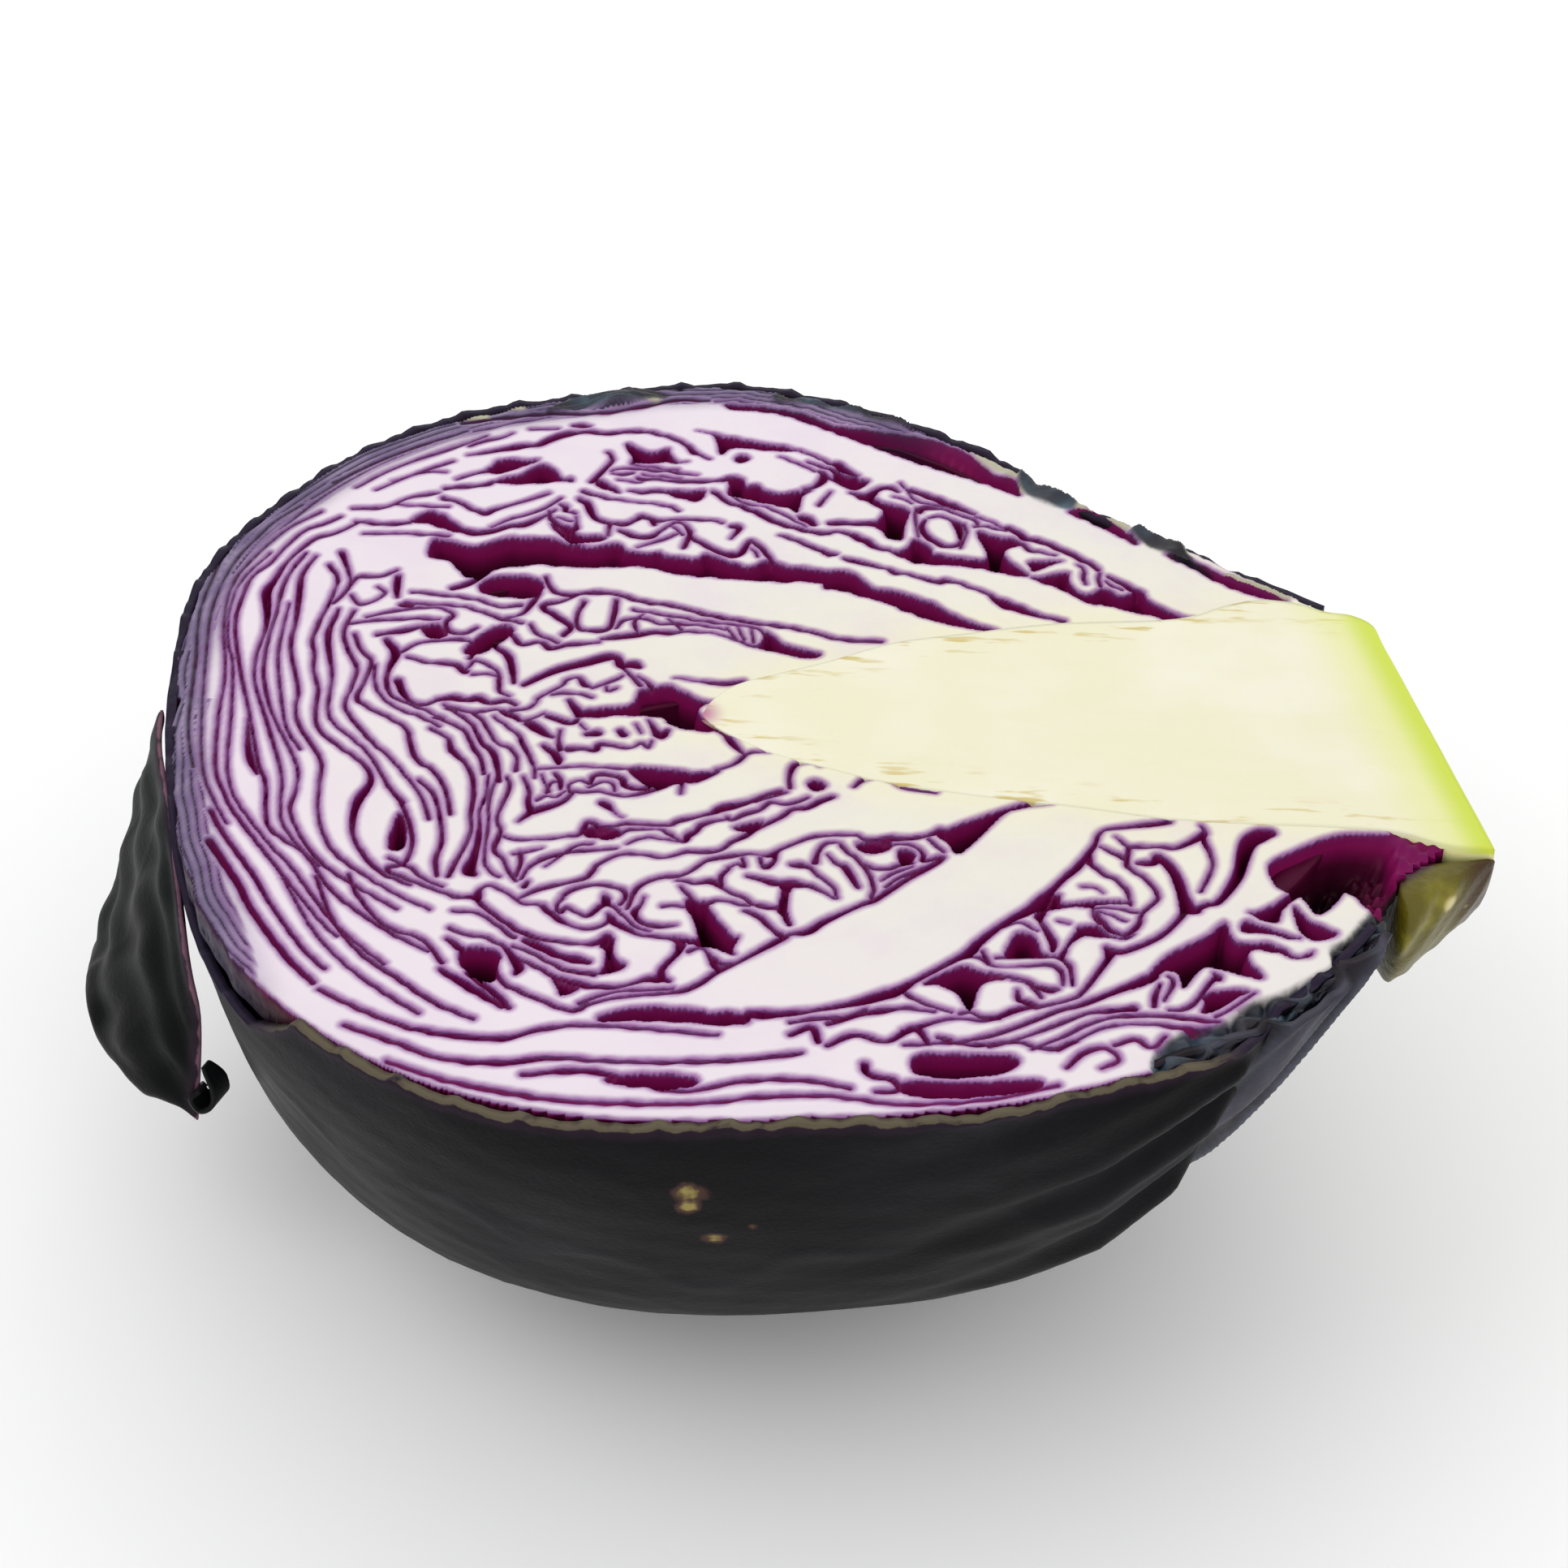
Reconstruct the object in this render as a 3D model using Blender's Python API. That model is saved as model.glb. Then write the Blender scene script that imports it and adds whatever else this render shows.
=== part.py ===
# Half a red cabbage, cut lengthwise through its stalk and lying on its rounded back, cut face up.
#
# The stalk runs along +X to the cut stem end. Every leaf is drawn by hand as it shows in the cut
# face: the middle line of its section and its thickness, in millimetres from the growing tip.
# Each section is then carried down and round under the head, so that the leaves lie nested in
# one another like bowls and stand off their neighbours by a small gap.
import math

import bmesh
import bpy
import numpy as np

MM = 0.001

CUT_HEIGHT = 77.5        # the cut face above the surface that the cabbage lies on
REST_X = -9.0            # the middle of the flat rest spot, in the cut face's millimetres
REST_Y = 0.0
TIP_X = -12.0            # the growing tip, the point that all the leaves curl round
DEPTH_SHARE = 0.92       # how deep a leaf's bowl is beside its reach in the cut face
LEAF_GAP = 0.7           # the least space between the sections of two leaves
BASE_GAP = 0.35          # the space between a leaf's base and the stalk
THIN_BLADE = 1.1         # a leaf's thickness away from its rib
BEND_ROOM = 0.8          # half a leaf's thickness at most, beside the radius of its bend
OWN_REACH = 8.0          # a leaf's own folds this far apart along it keep clear of each other
SPACING = 1.0            # the step along a section when neighbours are compared

BOWL_TURNS = (0.0, 13.0, 34.0, 58.0, 80.0)     # degrees down from the cut face, for a whole leaf
BOWL_STEP = 8.5          # the spacing of a section's points where it runs straight
BOWL_BEND = 34.0         # and the bend in degrees between two points where it turns
FOLD_STEP = 5.0
FOLD_BEND = 54.0

# Edges of the stalk in the cut face: x, then y of the far edge and y of the near edge.
STALK_EDGES = (
    (-14.0, 1.6, -0.6),
    (-10.5, 7.0, -3.6),
    (-5.0, 9.8, -7.0),
    (2.0, 13.2, -9.6),
    (10.0, 17.6, -12.2),
    (20.0, 20.4, -14.0),
    (32.0, 23.4, -15.4),
    (46.0, 24.9, -17.4),
    (60.0, 27.2, -17.8),
    (70.0, 27.8, -18.6),
)
STEM_END = ((73.0, 27.0), (86.8, -20.5))       # far and near corners of the cut stem end

# Whole leaves: middle line of the section from the base outwards, as x, y and thickness.
WHOLE_LEAVES = {
    "upper_leaf_1": (
        (63, 26.6, 4), (57, 29.8, 5), (51, 33.6, 6.6), (45, 37.9, 8), (37.5, 43, 8.2), (29.8, 48.8, 8),
        (22, 53.5, 7.4), (14, 58, 6.8), (6, 62.3, 6.4), (-2, 66.3, 6.6), (-9, 69.6, 8),
        (-16, 71.8, 9), (-22, 72.6, 8.4), (-28, 72, 6), (-34, 70.6, 3), (-42, 68.4, 2.2),
        (-51, 64.8, 2), (-60, 59.4, 2), (-69, 51, 2), (-76, 40.6, 2), (-81, 30, 2),
        (-82.4, 18, 2), (-81.2, 5, 2), (-79.4, -8, 2), (-76.6, -20, 2), (-72, -33, 2),
        (-64.6, -45.8, 2), (-54.6, -56.6, 2), (-43, -64.4, 2), (-30, -69.2, 2), (-18, -70.6, 1.6),
    ),
    "upper_leaf_2": (
        (47, 23.4, 3), (41.6, 26, 3.8), (36, 28.2, 4.6), (30, 30.8, 5.8), (25, 32.7, 5.4), (20, 34.4, 4.4),
        (15, 35.1, 3.2), (9, 37.3, 3.2), (4, 40, 4), (0, 41.7, 4.6), (-5, 43.9, 3.4),
        (-11, 46, 2.6), (-18, 48, 2.2), (-28, 50.2, 2), (-40, 51, 2), (-52, 49.5, 2),
        (-62, 46.2, 2), (-70, 41.4, 2.4), (-75.6, 34.6, 3.2), (-78.4, 27, 3.6), (-78.6, 18, 3.8),
        (-77.6, 8, 3.2), (-76.2, -2, 2.6), (-74.6, -10, 2.8), (-72.6, -18, 3.4), (-69, -27, 2.6),
        (-64.8, -35, 2), (-59.4, -43.4, 2), (-52, -52, 2), (-44, -58, 2), (-35, -61.8, 2),
        (-25, -63.2, 1.8),
    ),
    "upper_leaf_3": (
        (28, 20.4, 3.6), (23.4, 24, 4.2), (19.5, 27.1, 5.2), (14.8, 30.3, 4.6), (9.5, 32.4, 3.8), (5, 34.2, 3),
        (0, 36.4, 3.4), (-5, 38.2, 4.6), (-10, 41, 4.4), (-15, 43, 3.8), (-21, 43, 2.6),
        (-29, 41.6, 2), (-38, 41, 2), (-48, 40.4, 2), (-58, 40.4, 2), (-66, 38.4, 2),
        (-71.2, 34.2, 2.4), (-72.3, 28, 3.2), (-70.9, 20, 3.6), (-69.6, 12, 3), (-67.8, 4, 2.8),
        (-66.8, -2, 2.6), (-64.8, -7.5, 2.2), (-63.2, -13, 2.8), (-63, -20, 2.4), (-61.9, -28, 2),
    ),
    "upper_leaf_4": (
        (21, 18.4, 4.4), (15.5, 20.9, 4.8), (10, 22.5, 6.2), (4.5, 23.9, 8.2), (-1, 25.2, 9.2), (-7, 26.4, 9.2),
        (-13, 27.2, 8.8), (-19, 28.5, 7.8), (-25, 29.9, 7), (-31, 30.7, 6.2), (-37, 31, 4.6),
        (-42, 31.4, 2.6), (-47, 29.6, 2.4), (-52, 29, 4), (-57, 29.4, 5), (-61.4, 27, 2.6),
        (-64.7, 23.6, 2), (-65.9, 17, 2), (-65.5, 10, 2.2), (-64.2, 3, 2), (-62.8, -3, 2),
        (-60.4, -8.5, 2), (-59, -14, 2), (-59.6, -20, 2), (-59.4, -25.6, 2), (-57.1, -31.6, 2),
        (-53, -37, 2.2), (-47, -40.6, 2.4), (-40, -43.2, 2.4), (-34.5, -45.6, 2),
    ),
    "upper_leaf_5": (
        (9, 15.4, 2.6), (3.5, 16.9, 2.6), (-3, 18.4, 3), (-9, 20.2, 1.8), (-16, 21.4, 2), (-23, 22.8, 2.4),
        (-30, 23.4, 3), (-36, 24.6, 3.4), (-43, 23.4, 2.4), (-50, 23.8, 2.4), (-56, 23.2, 2),
        (-60.3, 20.4, 2), (-62.4, 15, 2.4), (-62, 9, 2.4), (-60.6, 3, 2.2), (-58.4, -2.5, 2.4),
        (-55.8, -7.5, 2.4), (-54.7, -12.5, 2.4), (-55, -18, 4), (-54.6, -24, 5.6),
        (-53.4, -29.5, 4.4), (-50, -34, 2.2), (-44.4, -37.3, 2), (-37.5, -39.6, 2.2), (-31, -42.4, 2),
    ),
    "upper_leaf_6": (
        (2, 10.6, 5), (-2, 12, 5.6), (-6, 12.6, 6.6), (-11, 12.8, 8.2), (-17, 13.6, 9.6), (-22, 13.6, 8),
        (-26.5, 14, 4.5), (-31, 15, 2.4), (-37, 16.6, 2.4), (-44, 18, 2.6), (-51, 19.2, 2.2),
        (-56.6, 17.6, 2), (-58.9, 13, 2.2), (-58.6, 7.5, 2), (-57, 2.4, 2), (-54.4, -2, 2.2),
        (-51.8, -6.5, 2.4), (-50.9, -12, 2.4), (-50.6, -18, 2.4), (-49.6, -24, 2.4),
        (-48.6, -29.5, 2.2), (-44.6, -33.8, 2), (-38, -36.2, 2.2), (-32, -38.8, 2),
    ),
    "lower_leaf_1": (
        (-5.6, -3.4, 3), (-9.8, -6, 4), (-14, -7, 6.4), (-17.4, -7.3, 7.2), (-21, -8.5, 5), (-26, -9.6, 3.2),
        (-31.6, -10.8, 2), (-34.6, -8.4, 1.8), (-36.2, -3.5, 1.8), (-39.4, 0.8, 1.8),
    ),
    "lower_leaf_2": (
        (-0.5, -7.4, 6), (-4.4, -10.6, 6.2), (-9, -13.6, 6.4), (-14, -16.6, 6.4), (-19, -18.6, 6.4),
        (-24, -19.9, 6), (-29, -21, 6), (-33.6, -21.6, 4.8), (-37, -20, 2.4), (-38.4, -15, 2),
        (-38.9, -9.5, 2), (-40.6, -4, 2), (-44, 0.2, 2), (-48, 3, 2),
    ),
    "lower_leaf_3": (
        (27, -13.4, 4), (21, -16.4, 5), (14, -18.4, 7), (7, -19.2, 7.8), (1, -20.8, 6), (-4, -23.8, 4.4),
        (-9.5, -26.2, 2.6), (-16, -27.4, 2.4), (-23, -28.4, 2.6), (-30, -30.4, 2.4),
        (-36.6, -31, 2.2), (-41.8, -28.4, 2.2), (-43.8, -22, 2.2), (-44.6, -15.5, 2.2),
        (-46, -9.5, 2.2), (-48.9, -4, 2.2), (-52.4, 0.2, 2.2), (-55, 4.4, 2),
    ),
    "lower_leaf_4": (
        (37, -13.6, 9), (33, -18, 10), (29, -22.3, 11), (25, -27.5, 12), (20, -33.5, 13), (14, -39.8, 13.2),
        (8, -45.2, 12.6), (1, -49.6, 10.6), (-6, -52.6, 7), (-13, -54.8, 3.2), (-20, -56.6, 3),
        (-27, -58.2, 3.2), (-34, -58, 2.6), (-40, -55.4, 4.8), (-46, -51.1, 6), (-52, -45.9, 6),
        (-57, -39.8, 4.2), (-61.2, -33, 2.4), (-65, -25.6, 2), (-68, -17, 2), (-70.6, -8, 2),
        (-72.4, 2, 1.8), (-74, 12, 1.8), (-75, 22, 1.8), (-75.6, 28, 1.6),
    ),
    "lower_leaf_5": (
        (55.6, -16, 3.4), (54.8, -20.4, 3.2), (53.2, -25, 3), (51.6, -29.4, 3), (47.4, -34, 3.2), (42, -38, 3.4),
        (37, -43.2, 3), (31, -48, 2.8), (24, -52, 2.6), (16.5, -55.2, 2.4), (8, -57.4, 2.2),
        (-1, -58.4, 2), (-10, -59.4, 2), (-19, -61.2, 1.8),
    ),
    "lower_leaf_6": (
        (66, -16, 7), (63.6, -20.8, 6.6), (60.4, -26, 6), (56.4, -31, 5.2), (51.6, -36, 4.8), (46.4, -40.6, 5),
        (41.4, -45.4, 5), (36, -50.2, 4), (29.6, -54.6, 3), (21.6, -58.2, 2.6), (12.4, -60.4, 2.4),
        (2, -61.6, 2.2), (-8, -62.6, 2), (-18, -64.4, 2), (-30, -66, 1.8), (-42, -61.4, 1.8),
    ),
    "outer_leaf": (
        (-36, 74.2, 1.6), (-44, 71.8, 1.6), (-53, 67.8, 1.6), (-62, 62.2, 1.6), (-71, 53.6, 1.6),
        (-78.4, 42, 1.6), (-82.8, 32, 1.6), (-84.6, 20, 1.6), (-83.4, 6, 1.6), (-81.6, -7, 1.6),
        (-78.8, -20, 1.6), (-74.4, -34, 1.6), (-67, -47.4, 1.6), (-56.6, -59, 1.6),
        (-44, -67.2, 1.6), (-30, -71.8, 1.6), (-15, -72.9, 1.6), (-1, -71, 1.6),
        (13, -69.4, 1.6), (26, -66.6, 1.6), (37, -61.4, 1.6),
    ),
    "wrapper_leaf_far": (
        (57.4, 35, 1.5), (51.4, 39.7, 1.5), (44.6, 44.7, 1.5), (37, 49.6, 1.5), (30, 54.6, 1.5),
        (25.4, 58.6, 1.5), (20.4, 61.8, 1.5), (14.6, 66, 1.5), (8.6, 69.4, 1.5), (3, 70.2, 1.5),
        (-3, 73.6, 1.5), (-10, 76.2, 1.5), (-18.6, 78, 1.5), (-27, 77, 1.5), (-34, 75.4, 1.5),
    ),
}

# Crumpled margins of further leaves. Each winds to and fro between two lines, drawn by hand, that
# run along the ribs on either side of it: the two lines, the number of folds, the thickness and
# how many of the bowls' turns it reaches down.
FOLDED_LEAVES = {
    "folded_leaf_far": (
        ((47, 31.4), (40, 35.4), (30, 41.8), (20, 48), (10, 53), (0, 57.6), (-10, 61.6), (-22, 64.6),
         (-34, 65), (-44, 63), (-54, 58.4)),
        ((45.4, 28.4), (37, 31), (30, 35), (20, 38.6), (10, 41), (0, 46), (-10, 49.4), (-22, 52),
         (-34, 54), (-44, 54), (-54, 52)),
        17, 2.3, 1,
    ),
    "folded_leaf_near": (
        ((19, -24), (12, -25), (4, -25.2), (-2, -28), (-9, -30.4), (-17, -31), (-24, -33), (-30, -36)),
        ((17.6, -27), (12, -31), (5, -36.6), (-2, -42), (-9, -46.6), (-17, -50.6), (-24, -52.6),
         (-30, -53)),
        8, 2.0, 1,
    ),
    "folded_leaf_stem": (
        ((49, -20), (48.6, -26.4), (43.6, -32.6), (37, -38), (30, -43.4), (23, -48.6), (18, -51)),
        ((38.8, -19), (36.6, -25.6), (31.6, -33), (26.6, -39.4), (21.4, -44.6), (16.6, -48.4)),
        9, 1.9, 1,
    ),
    "folded_leaf_rim": (
        ((65, -29.5), (60, -34.6), (54.4, -39.6), (49, -44.2), (43.4, -48.8), (36.6, -53.4),
         (28, -58), (16, -61.6)),
        ((67, -35), (63.4, -39.8), (59, -44.2), (53.6, -49.2), (47, -53.8), (39.6, -58),
         (30, -62), (16, -65.4)),
        9, 1.8, 1,
    ),
    "folded_leaf_heart": (
        ((-27, 10.6), (-34, 13), (-41, 14.8), (-48, 15.2), (-53, 13.8)),
        ((-27.4, 7), (-33, 5.4), (-41, 4.4), (-46.6, 5.8), (-51.6, 8.8)),
        5, 1.5, 2,
    ),
    "folded_leaf_middle": (
        ((5, -12.8), (-3, -16.2), (-12, -21.6), (-22, -24.4), (-34, -26.4)),
        ((4.6, -14), (-3, -17.6), (-12, -23), (-22, -25.8), (-34, -27.8)),
        7, 1.3, 2,
    ),
}
HEART_LEAF = (           # the small curled leaf round the growing tip, drawn like a whole leaf
    (-19.4, -2, 1.6), (-22.6, -4, 1.8), (-26, -3.2, 1.8), (-29.4, -3.4, 1.6), (-31.8, -0.8, 1.6),
    (-31, 2.4, 1.8), (-26, 2.8, 1.8), (-21.4, 4.8, 1.8), (-16.6, 6.4, 1.6),
)
MEANDER_SWAY = 84.0      # degrees that a folded margin swings either way from its run

# Outline of the whole head in the cut face, from the stem round the head's top, as x and y.
FAR_OUTLINE = (
    (69, 30), (64, 33), (58, 37.4), (50, 43.8), (40, 50.4), (30, 58), (20, 66.4), (8, 74), (-5, 79.4),
    (-16, 82.2), (-28, 80.8), (-40, 77), (-50, 73.8), (-60, 68.6), (-70, 60.4), (-78, 49.6),
    (-84.6, 36.6), (-87.4, 24), (-87.2, 12), (-86, 0),
)
NEAR_OUTLINE = (
    (73, -38), (70, -42.6), (65, -49), (58, -56), (50, -61.6), (41, -66), (30, -69.8), (18, -72.4),
    (4, -74.2), (-10, -75.6), (-22, -75.8), (-34, -73.8), (-45, -69.8), (-56, -63), (-66, -53.8),
    (-73.4, -43), (-78.6, -31.4), (-82.2, -18), (-84.6, -8), (-86, 0),
)
UNDER_OUTLINE = (        # x, and the depth below the cut face along the middle of the back
    (73, 30.6), (70, 35), (65, 41), (59, 47.5), (50, 56.4), (40, 65), (26, 72.4), (10, 77), (-8, 78.8),
    (-26, 77.8), (-42, 73.6), (-56, 66), (-68, 54), (-77, 38), (-83, 20), (-86, 0),
)
WRAPPER_THICKNESS = 1.3
STATIONS = 24            # rings of the wrapper from the stem to the head's top
BACK_ANGLES = 18         # steps of each ring, from the far rim under the back to the near rim
ROUND_POWER = ((40, 2.0), (70, 1.25))      # x, power of the near side's superellipse; 2 is round
RIM_DROP = ((-82, 0), (-78, 9), (-72, 9), (-64, 6), (-58, 0))     # x, degrees below the cut face
WAVE_HEIGHT = 0.8        # veins and folds that run from the stem over the back
WAVE_COUNT = 8
STEM_LEAF_X = (73.0, 37.0)                 # the short outer leaf beside the stem: its reach in x
STEM_LEAF_ANGLES = (101.0, 179.0)          # and round the back, in degrees from the far rim
STEM_LEAF_SINK = 2.3     # how far the wrapper draws in under it

# The leaf base left beside the stem end: x, then its outer radius about the stalk's axis.
STUB_RADII = ((74.6, 34.0), (78.0, 31.0), (82.5, 26.6), (87.0, 22.4))
STUB_THICKNESS = 6.5
STUB_TURNS = (6.0, 20.0, 36.0, 52.0, 68.0)

# The loose outer leaf that peels off at the head's top, as rows of points from its rim down.
LOOSE_LEAF = (
    ((-89.6, 15, -0.6), (-89.4, 7, -0.6), (-88, -3, -0.6), (-86.2, -12, -1), (-83.8, -20.8, -2.4),
     (-80.6, -29.4, -13)),
    ((-92.5, 15, -14), (-93.3, 7, -15), (-92.6, -3, -15), (-90, -13.5, -16), (-85.6, -22.6, -18),
     (-79.6, -29.4, -22)),
    ((-96.8, 14, -27), (-97, 6, -28), (-95.8, -4, -29), (-93.4, -15, -29), (-88, -24, -30),
     (-79.4, -28.6, -32)),
    ((-99, 13, -35), (-99.2, 7, -36.6), (-98.6, -6, -38.6), (-96.6, -17.4, -40), (-89.4, -25.6, -43),
     (-82, -28, -50.6)),
)
LOOSE_THICKNESS = 1.2

COLOURS = {
    "flesh": ((0.80, 0.70, 0.80), 0.45),
    "layer": ((0.30, 0.10, 0.28), 0.42),
    "core": ((0.88, 0.84, 0.60), 0.48),
    "wrapper": ((0.035, 0.03, 0.04), 0.38),
    "stub": ((0.18, 0.14, 0.03), 0.55),
}


def clearScene():
    for item in list(bpy.data.objects):
        bpy.data.objects.remove(item, do_unlink=True)


def makeMaterial(name):
    """A plain principled material in the part's own colour."""
    colour, roughness = COLOURS[name]
    material = bpy.data.materials.new(name)
    material.use_nodes = True
    shader = material.node_tree.nodes["Principled BSDF"]
    shader.inputs["Base Color"].default_value = (*colour, 1.0)
    shader.inputs["Roughness"].default_value = roughness
    shader.inputs["Metallic"].default_value = 0.0
    return material


def makeObject(name, points, faces, material):
    """One closed body from points in the cut face's millimetres, z counted down from the cut."""
    placed = np.array(points, float)
    placed[:, 0] -= REST_X
    placed[:, 1] -= REST_Y
    placed[:, 2] += CUT_HEIGHT
    mesh = bpy.data.meshes.new(name)
    mesh.from_pydata((placed * MM).tolist(), [], faces)
    body = bmesh.new()
    body.from_mesh(mesh)
    bmesh.ops.remove_doubles(body, verts=body.verts, dist=1e-6)
    bmesh.ops.recalc_face_normals(body, faces=body.faces)
    body.to_mesh(mesh)
    body.free()
    mesh.materials.append(material)
    mesh.update()
    mesh.shade_smooth()
    mesh.set_sharp_from_angle(angle=math.radians(35))
    item = bpy.data.objects.new(name, mesh)
    bpy.context.scene.collection.objects.link(item)
    return item


def smoothCurve(points):
    """A close-set smooth curve through hand-drawn points (Catmull-Rom)."""
    knots = np.array(points, float)
    padded = np.vstack([2 * knots[0] - knots[1], knots, 2 * knots[-1] - knots[-2]])
    pieces = []
    for i in range(len(knots) - 1):
        before, start, end, after = padded[i:i + 4]
        t = np.linspace(0, 1, 24, endpoint=False)[:, None]
        pieces.append(0.5 * (2 * start + (end - before) * t
                             + (2 * before - 5 * start + 4 * end - after) * t ** 2
                             + (3 * start - before - 3 * end + after) * t ** 3))
    return np.vstack(pieces + [knots[-1:]])


def sample(curve, count, measured=3):
    """Even samples of a curve, its length measured in its first two or three columns."""
    run = np.r_[0, np.cumsum(np.linalg.norm(np.diff(curve[:, :measured], axis=0), axis=1))]
    stops = np.linspace(0, run[-1], count)
    return np.stack([np.interp(stops, run, curve[:, k]) for k in range(curve.shape[1])], 1)


def smoothLine(points, step):
    """Samples, step apart in the cut face, of a smooth curve through hand-drawn points."""
    curve = smoothCurve(points)
    length = np.linalg.norm(np.diff(curve[:, :2], axis=0), axis=1).sum()
    return sample(curve, max(3, int(round(length / step)) + 1), 2)


def stalkEdge(x, side):
    """The stalk's far (+1) or near (-1) edge in the cut face at x."""
    edges = np.array(STALK_EDGES)
    column = 1 if side > 0 else 2
    return np.interp(x, edges[:, 0], edges[:, column])


def headings(line):
    """The direction of a section along its middle line, as unit vectors."""
    slope = np.gradient(line[:, :2], axis=0)
    return slope / np.hypot(slope[:, 0], slope[:, 1])[:, None]


def bendRadius(line):
    """The radius of a section's bend at each point of its middle line, evened out a little."""
    along = headings(line)
    bend = np.linalg.norm(np.gradient(along, axis=0), axis=1) / SPACING
    evened = np.convolve(np.pad(bend, 1, "edge"), (0.25, 0.5, 0.25), "valid")
    return 1 / np.maximum(evened, 1e-3)


def pressTogether(lines):
    """Thins each leaf where its neighbours leave it less room, so that no two sections touch.

    Two leaves share the room between their middle lines in the ratio of their thicknesses."""
    slimmed = {name: np.minimum(line[:, 2] / 2, BEND_ROOM * bendRadius(line))
               for name, line in lines.items()}
    for name, line in lines.items():
        for other, otherLine in lines.items():
            apart = np.hypot(line[:, None, 0] - otherLine[None, :, 0],
                             line[:, None, 1] - otherLine[None, :, 1])
            if other == name:
                steps = np.arange(len(line))
                apart[np.abs(steps[:, None] - steps[None, :]) < OWN_REACH / SPACING] = 99
            share = line[:, None, 2] / (line[:, None, 2] + otherLine[None, :, 2])
            room = (apart * share - LEAF_GAP / 2).min(axis=1)
            slimmed[name] = np.minimum(slimmed[name], room)
    return {name: np.column_stack([line[:, :2], slimmed[name]]) for name, line in lines.items()}


def under(x, y, turn):
    """Carries a point of the cut face down and round under the head by an angle.

    Beside the stalk it turns about the stalk's axis. Beyond the growing tip it turns in the
    upright plane through the tip. Both agree where they meet, so nested leaves stay nested."""
    left = np.minimum(x - TIP_X, 0.0)
    right = np.maximum(x - TIP_X, 0.0)
    reach = np.hypot(left, y)
    return np.stack([TIP_X + left * math.cos(turn) + right,
                     y * math.cos(turn),
                     -DEPTH_SHARE * reach * math.sin(turn)], -1)


def insideStalk(points):
    x, y = points[:, 0], points[:, 1]
    return (x > STALK_EDGES[0][0]) & (y < stalkEdge(x, 1)) & (y > stalkEdge(x, -1))


def sectionLine(points):
    """The close-set middle line of a whole leaf, from where its base leaves the stalk."""
    line = smoothLine(points, SPACING)
    buried = insideStalk(line)
    first = int(np.argmin(buried)) if buried[0] else 0
    return line[max(first - 1, 0):]


def meander(edges, folds, thickness):
    """The middle line of a margin that winds between two edge lines (a sine-generated curve).

    Its heading swings to and fro evenly along its length, which gives round, leaning bends."""
    along = np.linspace(0, folds, folds * 24 + 1)
    heading = math.radians(MEANDER_SWAY) * np.sin(math.pi * along)
    run = np.r_[0, np.cumsum(np.cos(heading[:-1]))]
    swing = np.r_[0, np.cumsum(np.sin(heading[:-1]))]
    run = run / run[-1]
    swing = ((swing - swing.min()) / (swing.max() - swing.min()))[:, None]
    rows = []
    for edge in edges:
        line = smoothLine(edge, SPACING)
        share = np.linspace(0, 1, len(line))
        rows.append(np.column_stack([np.interp(run, share, line[:, k]) for k in (0, 1)]))
    middle = rows[0] * (1 - swing) + rows[1] * swing
    return smoothLine(np.column_stack([middle, np.full(len(middle), thickness)]), SPACING)


def thinOut(line, step, bend):
    """Fewer points for the mesh, closest where the section bends most."""
    run = np.r_[0, np.cumsum(np.hypot(*np.diff(line[:, :2], axis=0).T))]
    slope = np.gradient(line[:, :2], axis=0)
    heading = np.unwrap(np.arctan2(slope[:, 1], slope[:, 0]))
    turned = np.r_[0, np.cumsum(np.abs(np.diff(heading)))]
    spent = run / step + turned / math.radians(bend)
    stops = np.linspace(0, spent[-1], max(4, int(round(spent[-1])) + 1))
    return np.stack([np.interp(stops, spent, line[:, k]) for k in range(3)], 1)


def clearOfStalk(points):
    """Moves points that would fall inside the stalk out to just off its edge."""
    x, y = points[:, 0], points[:, 1]
    beside = x > STALK_EDGES[0][0]
    clear = np.where(beside & (y > 0), np.maximum(y, stalkEdge(x, 1) + BASE_GAP), y)
    clear = np.where(beside & (y < 0), np.minimum(clear, stalkEdge(x, -1) - BASE_GAP), clear)
    return np.column_stack([x, clear])


def slideToStalk(point, heading, side):
    """Moves a corner of a leaf's base along the leaf's own direction to just off the stalk."""
    reach = np.linspace(-5, 5, 201)
    x = point[0] + reach * heading[0]
    y = point[1] + reach * heading[1]
    best = np.argmin(np.abs(side * (y - stalkEdge(x, side)) - BASE_GAP))
    return x[best], y[best]


def leafSolid(line, turns, rooted):
    """A leaf: its section swept through the turns, its rib thinning to a blade on the way."""
    along = headings(line)
    normal = np.stack([-along[:, 1], along[:, 0]], 1)
    stalkSide = 1 if line[0, 1] > 0 else -1
    rings = []
    for turn in turns:
        fade = math.cos(math.radians(turn)) ** 3
        blade = THIN_BLADE / 2
        half = np.where(line[:, 2] > blade, blade + (line[:, 2] - blade) * fade, line[:, 2])
        for side in (1, -1):
            edge = clearOfStalk(line[:, :2] + side * half[:, None] * normal)
            if rooted:
                edge[0] = slideToStalk(edge[0], along[0], stalkSide)
            rings.append(under(edge[:, 0], edge[:, 1], math.radians(turn)))
    return shellFaces(np.array(rings[0::2]), np.array(rings[1::2]))


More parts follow.
